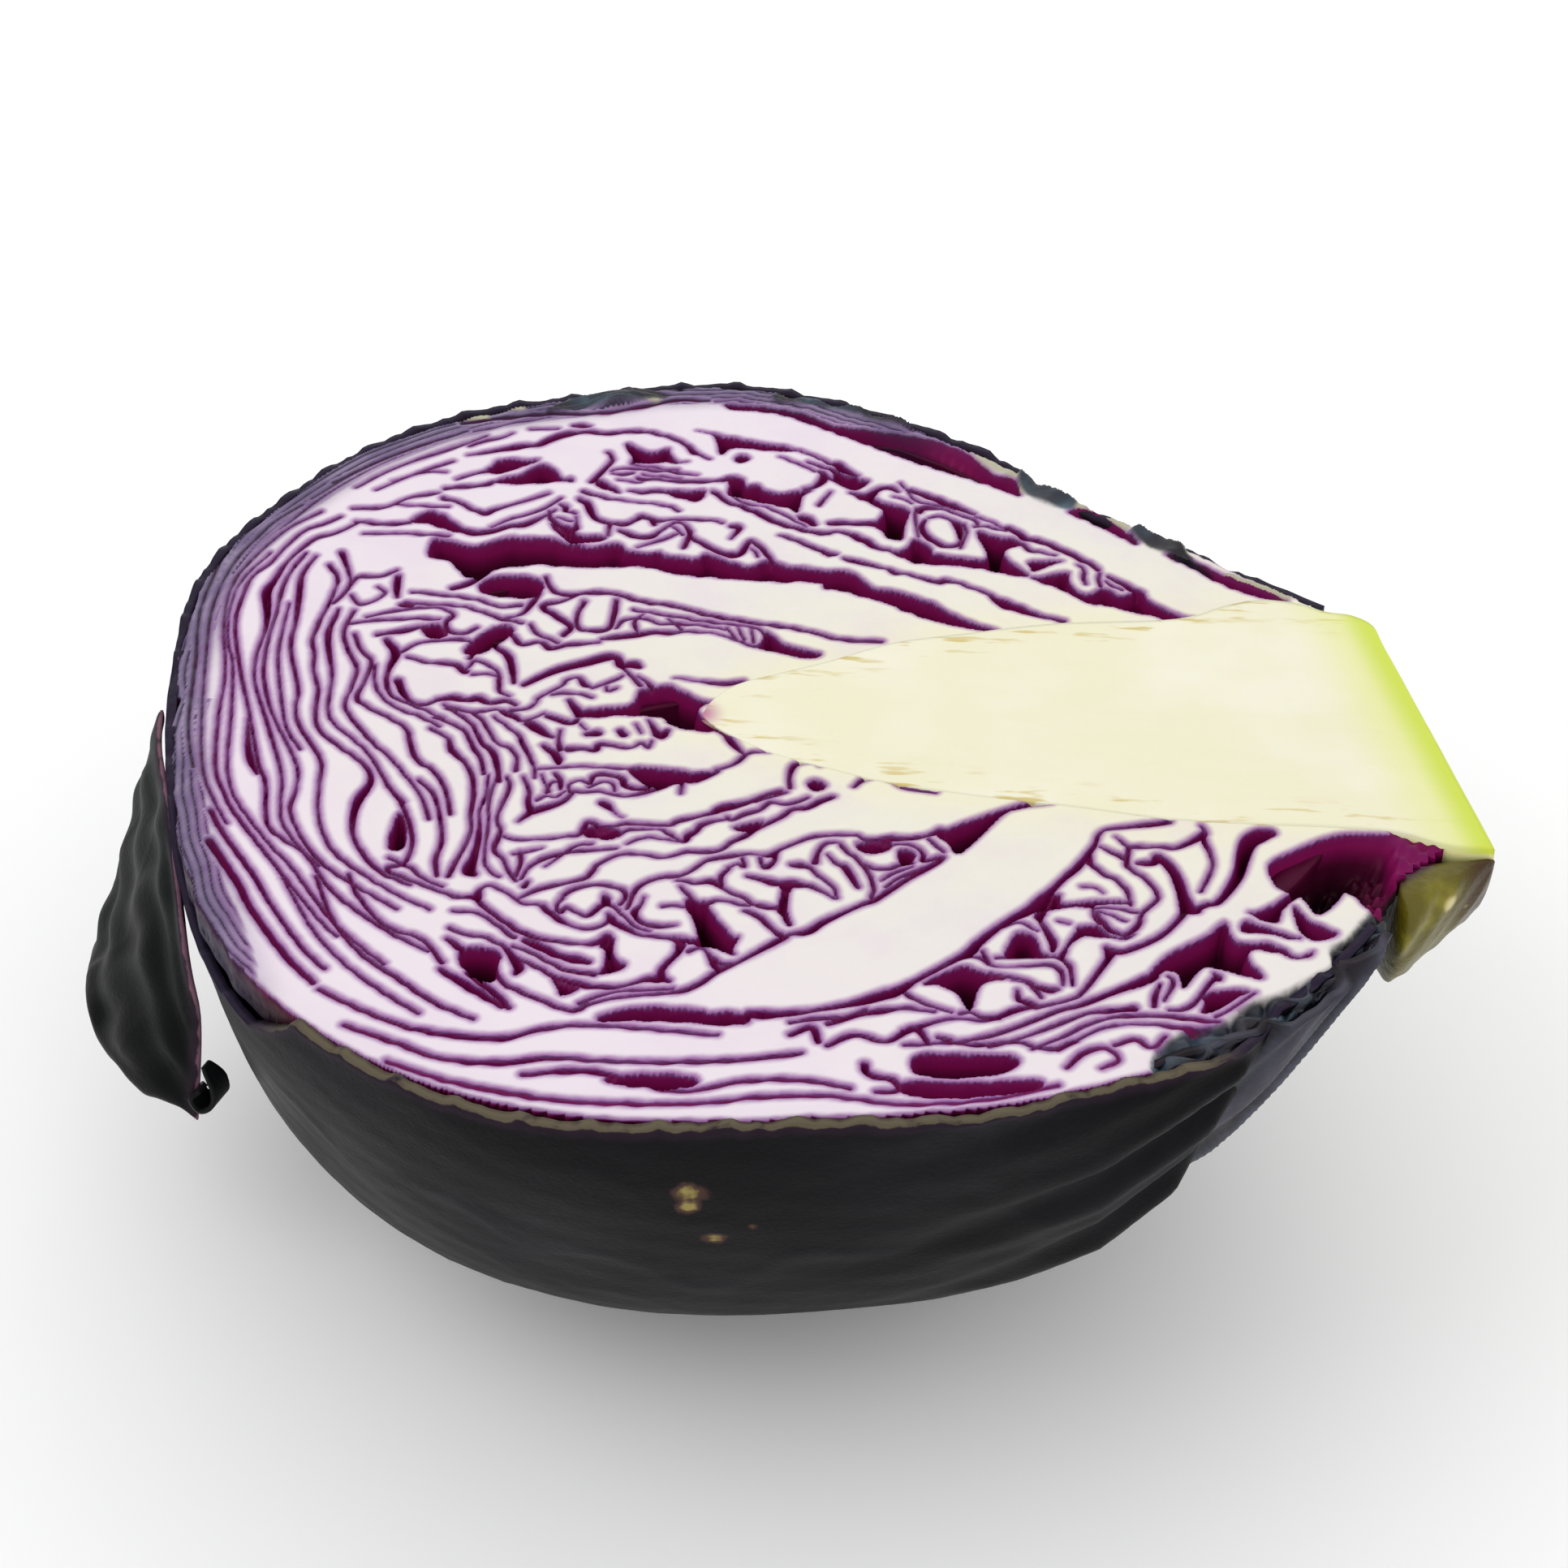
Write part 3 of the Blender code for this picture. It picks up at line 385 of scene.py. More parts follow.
def cutStalkMaterial():
    # Cut stalk: dense cream pith with faint lengthwise fibres, straw flecks where the leaf bases
    # join, and bright lime rind at the cut stem end that fades back to cream.
    material, tree, shader, place = newMaterial("cut stalk", 0.45, coat=0.1, soft=0.15)
    drawn = addNode(tree, "ShaderNodeMapping", {"Vector": place, "Scale": (60, 300, 300)}).outputs[0]
    fibres, flecks = noise(tree, drawn, 1.0, 4), noise(tree, drawn, 2.3, 2)
    patches, grain = noise(tree, place, 60, 3), noise(tree, place, 1100, 2)
    rind, depth, end, tip = marksOf(tree, "rind", "depth", "end", "tip")
    pith = tinted(tree, colour("#e2dec0"), "#e6e2cd", patches, 0.35, 0.7)
    pith = tinted(tree, pith, "#d8d0a2", fibres, 0.45, 0.75, 0, 0.1)
    beside = mathOf(tree, "MULTIPLY", smoothRange(tree, rind, 1.0, 7.0, 1.0, 0.0),
                    smoothRange(tree, flecks, 0.55, 0.68))
    pith = blendOf(tree, beside, pith, colour("#cbb873"))
    pith = tinted(tree, pith, "#a8327c", tip, 4.0, 0.0, 0.0, 0.9)
    pith = tinted(tree, pith, "#d6dc72", end, 1.0, 13.0, 0.75, 0.0)
    pith = tinted(tree, pith, "#c2d22a", end, 0.6, 5.0, 0.95, 0.0)
    skin = tinted(tree, colour("#e9e6a4"), "#b9bf62", depth, 0.5, 9.0)
    final = blendOf(tree, smoothRange(tree, depth, 0.5, 1.4), pith, skin)
    connect(tree, shader, final, 0.14, 0.0002, mathOf(tree, "ADD", fibres, grain))
    return material


def wrapperMaterial(name, tint, gloss=0.0):
    # Outer leaf of a red cabbage: nearly black violet under a thin bluish wax bloom; the same wax
    # colour also paints a broad satin sheen, and highlight on the fold and pleat crests. Veins a little
    # paler (on the pleated leaf the vein colour is a painted highlight along the crests), the torn or
    # cut rim grey-green, bruises straw-coloured.
    material, tree, shader, place = newMaterial(name, 0.5, coat=gloss)
    shader.inputs["Specular IOR Level"].default_value = 0.07 + gloss
    shader.inputs["Coat Roughness"].default_value = 0.38
    patches, spots, grain = noise(tree, place, 45, 5), noise(tree, place, 320, 4), noise(tree, place, 1500, 2)
    veinsAndCrestHighlight, rim, bruise, waxAndSheen, green = marksOf(tree, "veinsAndCrestHighlight", "rim", "bruise", "waxAndSheen", "green")
    leaf = tinted(tree, colour(tint["dark"]), tint["pale"], patches, 0.35, 0.7)
    leaf = tinted(tree, leaf, tint["vein"], veinsAndCrestHighlight, 0.2, 1.0, 0, 0.3)
    bloomAndSheen = mathOf(tree, "MULTIPLY", waxAndSheen, smoothRange(tree, spots, 0.3, 0.75, 0.35, 1.0))
    leaf = blendOf(tree, bloomAndSheen, leaf, colour(tint["waxAndSheen"]))
    sore = mathOf(tree, "ADD", bruise, mathOf(tree, "MULTIPLY_ADD", spots, 1.1, -0.55))
    leaf = tinted(tree, leaf, "#46302a", sore, 0.35, 0.6, 0, 0.85)
    leaf = tinted(tree, leaf, "#94864c", sore, 0.6, 0.95, 0, 0.9)
    edge = mathOf(tree, "ADD", rim, mathOf(tree, "MULTIPLY_ADD", spots, 1.6, -0.8))
    leaf = tinted(tree, leaf, "#2e1f2e", edge, 0.3, 2.4, 0.6, 0.0)
    cutEdge = blendOf(tree, green, colour("#272033"), colour(tint["rim"]))
    leaf = blendOf(tree, smoothRange(tree, edge, 0.05, 0.45, 0.85, 0.0), leaf, cutEdge)
    tree.links.new(smoothRange(tree, patches, 0.3, 0.7, 0.42, 0.56, "LINEAR"), shader.inputs["Roughness"])
    connect(tree, shader, leaf, 0.22, 0.0003, mathOf(tree, "ADD", spots, grain))
    return material


def leafBaseMaterial():
    # Old leaf base: dry, slightly waxy olive rind browning towards its cut, with pale scars.
    material, tree, shader, place = newMaterial("old leaf base", 0.35)
    shader.inputs["Specular IOR Level"].default_value = 0.25
    patches, grain = noise(tree, place, 160, 5), noise(tree, place, 900, 3)
    cut, scars, maroon = marksOf(tree, "cut", "scars", "maroon")
    base = tinted(tree, colour("#5a5210"), "#3c270c", cut, 0.0, 1.0)
    base = tinted(tree, base, "#8c8426", patches, 0.5, 0.75, 0, 0.7)
    base = blendOf(tree, maroon, base, colour("#32071d"))
    base = tinted(tree, base, "#d3c58b", scars, 0.4, 0.9, 0, 0.85)
    connect(tree, shader, base, 0.4, 0.0006, mathOf(tree, "ADD", patches, grain))
    return material


def floorMaterial():
    # matt white table top
    material, tree, shader, place = newMaterial("white table", 0.85)
    shader.inputs["Base Color"].default_value = colour("#fbfbfb")
    return material


# the wax colours serve wax bloom and painted sheen; the stem leaf's vein and wax colours paint highlight on its pleat
# crests
darkTint = {"dark": "#070608", "pale": "#0d0b0e", "vein": "#1a171d", "waxAndSheen": "#1f2127", "rim": "#625a48"}
stemTint = {"dark": "#120d13", "pale": "#221923", "vein": "#4a3f4d", "waxAndSheen": "#565d6c", "rim": "#77806f"}
looseTint = {"dark": "#060707", "pale": "#0a0d0c", "vein": "#141a19", "waxAndSheen": "#272f2f", "rim": "#7a5566"}

cutInner, cutMargin, cutOuter = map(cutLeafMaterial, ("cut leaf flesh", "cut folded leaf", "cut outer leaf"))
darkLeaf = wrapperMaterial("waxy wrapper leaf", darkTint)
stemLeaf = wrapperMaterial("glossy pleated leaf", stemTint, 0.06)
looseLeaf = wrapperMaterial("loose wrapper leaf", looseTint)
print("materials made")


stalk = {
    "edges": (           # x, then y of the far and the near edge in the cut face
        (-14.0, 1.6, -0.6), (-10.5, 7.0, -3.6), (-5.0, 9.8, -7.0), (2.0, 13.2, -9.6), (10.0, 17.6, -12.2),
        (20.0, 20.4, -14.0), (32.0, 23.4, -15.4), (46.0, 24.9, -17.4), (60.0, 27.2, -17.8),
        (70.0, 27.8, -18.6),
    ),
    "farEdge": ((-14.6, 0.6), (-13.6, 3.4), (-10.5, 7.2), (-5, 10), (2, 13.4), (10, 17.8), (20, 20.6), (32, 23.6),
                (46, 25.2), (51, 26.6), (55, 29), (60, 30.8), (65, 30.4), (69, 28.6), (72.4, 28), (75.2, 25.8),
                (76.2, 21.6)),
    "nearEdge": ((-14.6, 0.2), (-13.4, -1.4), (-10.5, -3.8), (-5, -7.2), (2, -9.8), (10, -12.4), (20, -14.2),
                 (32, -15.6), (46, -17.6), (58, -18), (66, -18), (75, -18.4), (81, -20.6), (86.8, -21.2)),
}


def stalkGrid():
    # rings of x and y: straight across the cut from edge to edge, then under() round the back;
    # the last rings shrink to the middle of the cut stem end
    far = smoothCurve(stalk["farEdge"], 0.8)
    near = smoothCurve(stalk["nearEdge"], 0.8)
    share = np.linspace(0, 1, 150) ** 1.15
    rows = [np.stack([np.interp(share, np.linspace(0, 1, len(e)), e[:, k]) for k in (0, 1)], 1)
            for e in (far, near)]
    across = np.linspace(0, 1, 64)[None, :, None]
    cap = rows[0][:, None] * (1 - across) + rows[1][:, None] * across
    x, y = cap[..., 0], cap[..., 1]
    width = np.hypot(*(rows[0] - rows[1]).T)[:, None]
    fromEdge = np.minimum(across[..., 0], 1 - across[..., 0]) * width
    relief = 0.03 + 0.05 * sway(4, ((6, 0.3), (22, 0.7)), y, x * 0.3) * step(0, 3, fromEdge)
    cap = np.concatenate([cap, relief[..., None]], 2)
    turns = np.radians(np.linspace(8, 80, 14))
    farWall, nearWall = (np.stack([under(*row.T, turn) for turn in turns], 1) for row in rows)
    ring = np.concatenate([farWall[:, ::-1], cap, nearWall], 1)
    lumps = 0.35 * sway(9, ((9, 0.6), (5, 0.4)), ring[..., 1], ring[..., 2])
    ring[..., 0] += np.where(ring[..., 2] < -0.6, lumps, 0)
    end = ring[-1]
    middle = end.mean(axis=0)
    lids = [end + (middle - end) * s + [0.9 * math.sin(s * 3.1), 0, 0] for s in (0.04, 0.12, 0.25, 0.45, 0.7, 1.0)]
    points = np.concatenate([ring, np.stack(lids)])
    rind = np.full(points.shape[:2], 0.0)
    rind[:len(ring), len(turns):-len(turns)] = fromEdge
    (farX, farY), (nearX, nearY) = stalk["farEdge"][-1], stalk["nearEdge"][-1]
    slope = (nearX - farX) / (farY - nearY)
    toEnd = (farX + (farY - points[..., 1]) * slope - points[..., 0]) * math.cos(math.atan(slope))
    toEnd = np.where(points[..., 2] < -1, np.maximum(toEnd, 0) * 0.5, toEnd)
    toEnd[len(ring):] = 0.4
    fromTip = np.hypot(points[..., 0] + 15, points[..., 1] - 0.6)
    return grid(points, rind=rind, depth=-points[..., 2], end=toEnd, tip=fromTip)


wrapper = {
    "far": (
        (69, 30), (64, 33), (58, 37.4), (50, 43.8), (40, 50.4), (30, 58), (20, 66.4), (8, 74), (-5, 79.4),
        (-16, 82.2), (-28, 80.8), (-40, 77), (-50, 73.8), (-60, 68.6), (-70, 60.4), (-78, 49.6),
        (-84.6, 36.6), (-87.4, 24), (-87.2, 12), (-86, 0),
    ),
    "near": (
        (73, -38), (70, -42.6), (65, -49), (58, -56), (50, -61.6), (41, -66), (30, -69.8), (18, -72.4),
        (4, -74.2), (-10, -75.6), (-22, -75.8), (-34, -73.8), (-45, -69.8), (-56, -63), (-66, -53.8),
        (-73.4, -43), (-78.6, -31.4), (-82.2, -18), (-84.6, -8), (-86, 0),
    ),
    "under": (
        (73, 30.6), (70, 35), (65, 41), (59, 47.5), (50, 56.4), (40, 65), (26, 72.4), (10, 77), (-8, 78.8),
        (-26, 77.8), (-42, 73.6), (-56, 66), (-68, 54), (-77, 38), (-83, 20), (-86, 0),
    ),
    "thickness": 1.3,
    "stations": 230,
    "angles": 200,
    "power": ((40, 2.0), (70, 1.25)),
    "rimDrop": ((-82, 0), (-78, 9), (-72, 9), (-64, 6), (-58, 0)),
    "stemLeaf": (73.0, 37.0, 101.0, 179.0),
    "veinHeight": 0.22,
    "foldHeight": 2.6,
    "bruises": (             # x, y, z and radius
        (-10.3, -75.0, -11.6, 2.3), (-10.6, -74.4, -14.6, 1.8), (-7.7, -72.4, -23.0, 1.9), (-3.0, -73.0, -20.0, 1.0),
    ),
}


def evenly(curve, count):
    # count points spread evenly over a curve's own points
    share = np.linspace(0, len(curve) - 1, count)
    return np.stack([np.interp(share, np.arange(len(curve)), column) for column in curve.T], 1)


def outlineOf(points, stations):
    even = evenly(smoothCurve([(x, abs(d)) for x, d in points], 1.0), stations)
    return even, -sideways(even)


def backSurface(angles, lift):
    # x = side x * cos^2 + under x * sin^2, y = side distance * |cos|^(2/p), z = -depth * sin^(2/p):
    # rings from the far rim at 0 degrees under the back to the near rim at 180
    stations = len(angles)
    far, farOut = outlineOf(wrapper["far"], stations)
    near, nearOut = outlineOf(wrapper["near"], stations)
    below, belowOut = outlineOf(wrapper["under"], stations)
    across, down = np.cos(np.radians(angles)), np.sin(np.radians(angles))
    isFar = across >= 0
    side = [np.where(isFar, far[:, k:k + 1] + lift * farOut[:, k:k + 1],
                     near[:, k:k + 1] + lift * nearOut[:, k:k + 1]) for k in (0, 1)]
    lowest = [below[:, k:k + 1] + lift * belowOut[:, k:k + 1] for k in (0, 1)]
    power = np.where(isFar, 2.0, np.interp(below[:, :1], *zip(*wrapper["power"])))
    x = side[0] * across ** 2 + lowest[0] * down ** 2
    y = np.sign(across) * np.maximum(side[1], 0) * np.abs(across) ** (2 / power)
    z = -np.maximum(lowest[1], 0) * np.maximum(down, 0) ** (2 / power)
    return np.stack([x, y, z], -1)


def leafShell(outer, inner, marks, closeLast=False):
    # outer sheet, round its rim, and back over the inner sheet; the first row is drawn together,
    # and the last one too where its sheet ends in the open
    points = np.concatenate([outer, inner[:, ::-1]], 1)
    rows = [0, *range(len(points)), *[len(points) - 1] * closeLast]
    points = points[rows]
    for k in (0, -1) if closeLast else (0,):
        points[k] = (points[k] + points[k, ::-1]) / 2
    marks = {name: np.concatenate([value, value[:, ::-1]], 1)[rows] for name, value in marks.items()}
    return grid(points, **marks)


def bruiseMark(points):
    mark = np.zeros(points.shape[:2])
    for x, y, z, radius in wrapper["bruises"]:
        away = np.linalg.norm(points - [x, y, z], axis=2)
        mark = np.maximum(mark, np.exp(-(away / radius) ** 2))
    return mark


def veinPattern(along, angles, seed, count):
    # ridges |sin| of the angle, bent by slow noise, branching in number away from the stem
    bent = angles + 7 * sway(seed, ((0.6, 0.6), (0.25, 0.4)), along) + 2.5 * sway(seed + 1, ((0.13, 1),), along)
    main = np.abs(np.sin(np.radians(bent * count / 2)))
    fine = np.abs(np.sin(np.radians(bent * count * 1.5 + 40 * np.sin(along * 9))))
    return np.exp(-main / 0.12) + 0.45 * np.exp(-fine / 0.14) * step(0.1, 0.5, along)


def stemLeafEnd(angles):
    # x at which the leaf beside the stem goes under the wrapper: further right near the rim
    x0, x1, a0, a1 = wrapper["stemLeaf"]
    return x1 + 2 + 15 * np.clip((angles - a0) / (a1 - a0), 0, 1)


def wrapperGrids():
    stations, count = wrapper["stations"], wrapper["angles"]
    near, _ = outlineOf(wrapper["near"], stations)
    along = np.linspace(0, 1, stations)[:, None] * np.ones((1, count))
    drop = np.interp(near[:, 0], *zip(*wrapper["rimDrop"]))[:, None]
    share = np.linspace(0, 1, count)[None, :]
    angles = share * (180 - drop)
    x0, x1, a0, a1 = wrapper["stemLeaf"]
    beside = np.clip((near[:, :1] - stemLeafEnd(angles)) / 6, 0, 1)
    covered = beside * np.clip((angles - a0 + 14) / 9, 0, 1)
    inside = np.sin(np.pi * np.clip(along, 0, 1))
    veinsAndCrestHighlight = veinPattern(along, angles, 3, 9)
    folds = (1 - step(0.0, 0.42, along)) * (sway(12, ((13, 0.6), (7, 0.35)), angles + 60 * along))
    dents = sway(17, ((0.35, 0.5), (0.2, 0.3)), along, angles / 150)
    ripple = 0.07 * sway(21, ((6, 0.5), (2.7, 0.4)), angles, along * 45) * step(0.02, 0.2, inside)
    lift = 0.8 * inside * np.cos(np.radians(8 * angles)) + wrapper["veinHeight"] * veinsAndCrestHighlight * inside \
        + wrapper["foldHeight"] * folds * step(0, 0.08, along) + 0.5 * dents * inside + ripple
    lift = lift * (1 - covered) - 2.3 * covered
    outer = backSurface(angles, lift)
    inner = backSurface(angles, lift - wrapper["thickness"])
    # the rim is torn: it stands a little under or over the cut from place to place
    rimRun = np.minimum(share, 1 - share) * 180
    ragged = 0.5 * sway(31, ((0.045, 0.5), (0.018, 0.3), (0.009, 0.2)), along + 0.5 * (share > 0.5)) - 0.35
    lowered = np.exp(-rimRun / 2.2) * ragged
    for sheet in (outer, inner):
        sheet[..., 2] += lowered * step(0.02, 0.06, along) * (1 - step(0.97, 1, along))
    outer[..., 2] = np.maximum(outer[..., 2], -head["cutHeight"])
    inner[..., 2] = np.maximum(inner[..., 2], wrapper["thickness"] - head["cutHeight"])
    rim = np.minimum(share, 1 - share) * math.pi * np.hypot(outer[..., 1], outer[..., 2])
    # wax bloom at random, plus painted highlight on the fold crests
    waxAndSheen = 0.12 + 0.22 * sway(41, ((0.5, 0.6), (0.22, 0.4)), along, angles / 180) + 0.6 * step(0.25, 0.9, folds)
    green = (share > 0.5) * step(-66, -56, outer[..., 0]) * (1 - step(48, 55, outer[..., 0]))
    marks = {"veinsAndCrestHighlight": veinsAndCrestHighlight * inside, "rim": rim, "bruise": bruiseMark(outer), "waxAndSheen": np.clip(waxAndSheen, 0, 0.6),
             "green": green}
    return [leafShell(outer, inner, marks)]


def stemLeafGrids():
    stations, count = 260, 120
    near, _ = outlineOf(wrapper["near"], stations)
    x0, x1, a0, a1 = wrapper["stemLeaf"]
    rows = np.flatnonzero((near[:, 0] <= x0 + 0.01) & (near[:, 0] >= x1))
    share = np.linspace(0, 1, count)[None, :] * np.ones((stations, 1))
    along = np.linspace(0, 1, stations)[:, None] * np.ones((1, count))
    own = np.clip((along - along[rows[0]]) / (along[rows[-1], 0] - along[rows[0], 0]), 0, 1)
    ragged = 1.2 * sway(52, ((0.13, 0.6), (0.05, 0.4)), own)
    angles = a0 + (a1 - a0) * share + ragged * (1 - share)
    # rounded pleats with sharp creases, aslant from the stem down under the head
    phase = angles + 62 * own + 7 * sway(55, ((0.5, 0.6), (0.23, 0.5)), own, share)
    pleats = 3.2 * np.abs(np.sin(np.pi * phase / 19)) ** 0.8 - 1.9
    dive = step(stemLeafEnd(angles) + 7, stemLeafEnd(angles) - 1, near[:, :1])
    lift = pleats * (1 - 0.8 * dive) * step(0, 0.12, own) - 0.35 - 2.1 * dive
    thin = 1.2 * np.sqrt(np.clip(1 - own ** 6, 0.02, 1))
    outer = backSurface(angles, lift)[rows]
    inner = backSurface(angles, lift - thin)[rows]
    back = np.minimum(share * (a1 - a0) * 0.9, (1 - own) * 45)[rows]
    # veins and wax here are painted highlight along the pleat crests, none in the creases
    veinsAndCrestHighlight = step(0.4, 1.3, pleats)[rows]
    waxAndSheen = (step(-0.6, 1.2, pleats) * (0.35 + 0.3 * sway(57, ((24, 0.6), (11, 0.4)), phase)))[rows]
    marks = {"veinsAndCrestHighlight": veinsAndCrestHighlight, "rim": back, "bruise": bruiseMark(outer), "waxAndSheen": waxAndSheen, "green": 0.5 + 0 * waxAndSheen}
    return [leafShell(outer, inner, marks, closeLast=True)]


loose = {
    "rows": (            # from its rim down, each row from its far end to its near end
        ((-86.4, -2, -0.8), (-85.8, -6, -0.8), (-85, -10, -0.8), (-83.4, -15, -1.4), (-81.4, -21.4, -2.8),
         (-79.6, -29.4, -13)),
        ((-90.4, 1, -14), (-90.6, -3, -15), (-90, -8, -15.4), (-88.2, -14.5, -16.4), (-85, -22.8, -18),
         (-79.6, -29.4, -22)),
        ((-95.6, 3, -29), (-95.6, -1, -29.6), (-94.8, -7, -30), (-92.4, -15.5, -30), (-87.6, -24, -30.6),
         (-79.4, -28.6, -32)),
        ((-99.4, 4, -39), (-100.2, -2, -41.4), (-100.2, -9, -43.4), (-97.8, -17.4, -44.6), (-89.6, -25.6, -47),
         (-82, -28, -51.2)),
    ),
    "thickness": 1.2,
    "scrap": ((-79.6, -28.4, -40), (-78.2, -28.6, -43.2), (-78.6, -28.2, -46.4), (-80.6, -27.8, -47.8),
              (-81.6, -28.2, -45.6), (-80.4, -28.8, -44)),
}


def sampled(points, count):
    return evenly(smoothCurve(points, 0.2), count)


def sheetNormal(sheet):
    normal = np.cross(np.gradient(sheet, axis=0), np.gradient(sheet, axis=1))
    return normal / np.maximum(np.linalg.norm(normal, axis=2, keepdims=True), 1e-9)


def sheetShell(sheet, half, marks):
    # a sheet given its thickness along its normals, both ends drawn together
    normal = sheetNormal(sheet)
    return leafShell(sheet + normal * half, sheet - normal * half, marks, closeLast=True)


def looseLeafGrids():
    rows = np.array([sampled(row, 110) for row in loose["rows"]])
    sheet = np.array([sampled(column, 90) for column in rows.transpose(1, 0, 2)])
    along = np.linspace(0, 1, 110)[:, None] * np.ones((1, 90))
    downward = np.linspace(0, 1, 90)[None, :] * np.ones((110, 1))
    # torn lower edge: the sheet's last part is drawn up or down by noise along it
    ragged = 1.8 * sway(61, ((0.6, 0.7), (0.27, 0.25), (0.12, 0.05)), along) - 0.6
    sheet[..., 2] += ragged * step(0.55, 1, downward)
    bulge = 0.7 * sway(63, ((0.5, 0.6), (0.23, 0.4)), along, downward) \
        + 0.12 * sway(65, ((0.21, 1),), along + 0.3 * downward) * step(0.3, 1, downward)
    normal = sheetNormal(sheet)
    edge = np.minimum(np.minimum(along, 1 - along), np.minimum(downward, 1 - downward))
    sheet = sheet + normal * (bulge * step(0, 0.12, edge))[..., None]
    veinsAndCrestHighlight = np.exp(-np.abs(np.sin(np.pi * (3.1 * along + 0.8 * downward + 0.1 * np.sin(9 * downward)))) / 0.1)
    sheet = sheet - normal * (0.1 * veinsAndCrestHighlight * step(0, 0.15, edge))[..., None]
    rim = np.minimum(np.minimum(downward * 45, (1 - along) * 45), (1 - downward) * 90)
    # painted sheen on the leaf's upper part, fading downwards, with a little random wax bloom
    waxAndSheen = np.clip(0.45 - 1.3 * downward + 0.15 * sway(67, ((0.3, 1),), along), 0, 0.5)
    half = 0.6 * np.sqrt(np.clip(1 - (1 - np.clip(edge / 0.04, 0.05, 1)) ** 2, 0, 1))[..., None]
    marks = {"veinsAndCrestHighlight": veinsAndCrestHighlight * 0.5, "rim": rim, "bruise": 0 * rim, "waxAndSheen": waxAndSheen, "green": 0 * rim + 1}
    scrapLine = sampled(loose["scrap"], 40)
    across = np.linspace(-1, 1, 9)[None, :, None]
    widthWay = np.array([0.9, 1.6, 0.4])
    taper = np.sin(np.pi * np.linspace(0.05, 0.95, 40))[:, None, None] ** 0.5
    scrap = scrapLine[:, None] + across * taper * widthWay
    flat = np.zeros(scrap.shape[:2])
    scrapMarks = {"veinsAndCrestHighlight": flat, "rim": flat + 2, "bruise": flat, "waxAndSheen": flat + 0.1, "green": flat}
    return [sheetShell(sheet, half, marks), sheetShell(scrap, 0.35, scrapMarks)]


stub = {
    "radii": ((74.6, 34.0), (78.0, 31.0), (82.5, 26.6), (87.0, 22.4)),
    "thickness": 13.0,
    "turns": (2.6, 68.0),
    "scars": ((81.0, -27.0, -4.0, 1.6), (79.0, -30.0, -9.0, 1.2), (83.5, -23.5, -7.0, 0.9)),
}


def stubGrid():
    # a wedge round the stalk: radius and turn run round a squarish ring at each x
    x = np.linspace(stub["radii"][0][0], stub["radii"][-1][0], 70)
    radius = np.interp(x, *zip(*stub["radii"]))
    hollow = np.maximum(20.9, radius - stub["thickness"])
    ring = np.linspace(0, 2 * np.pi, 120, endpoint=False)
    c, s = np.cos(ring), np.sin(ring)
    squareC = np.sign(c) * np.abs(c) ** 0.45
    squareS = np.sign(s) * np.abs(s) ** 0.6
    low, high = stub["turns"]
    ends = np.sqrt(np.clip(1 - np.abs(np.linspace(-1, 1, 70)) ** 9, 0, 1))
    turn = np.radians((low + high) / 2 + (high - low) / 2 * squareC[None, :] * (0.94 + 0.06 * ends[:, None]))
    middle, half = (radius + hollow) / 2, (radius - hollow) / 2 * ends
    reach = middle[:, None] + half[:, None] * squareS[None, :]
    xx = x[:, None] * np.ones_like(reach)
    lumps = 0.35 * sway(71, ((0.9, 0.5), (0.4, 0.4)), turn * 2, xx / 6)
    reach = reach + lumps * (squareS[None, :] > 0) * ends[:, None]
    points = under(xx, -reach, turn)
    cut = step(80, 86.5, xx)
    scars = np.zeros_like(cut)
    for sx, sy, sz, size in stub["scars"]:
        scars = np.maximum(scars, np.exp(-(np.linalg.norm(points - [sx, sy, sz], axis=2) / size) ** 2))
    maroon = step(5.5, 7.5, radius[:, None] - reach) * step(81, 79, xx)
    return grid(points, cut=cut, scars=scars, maroon=maroon)


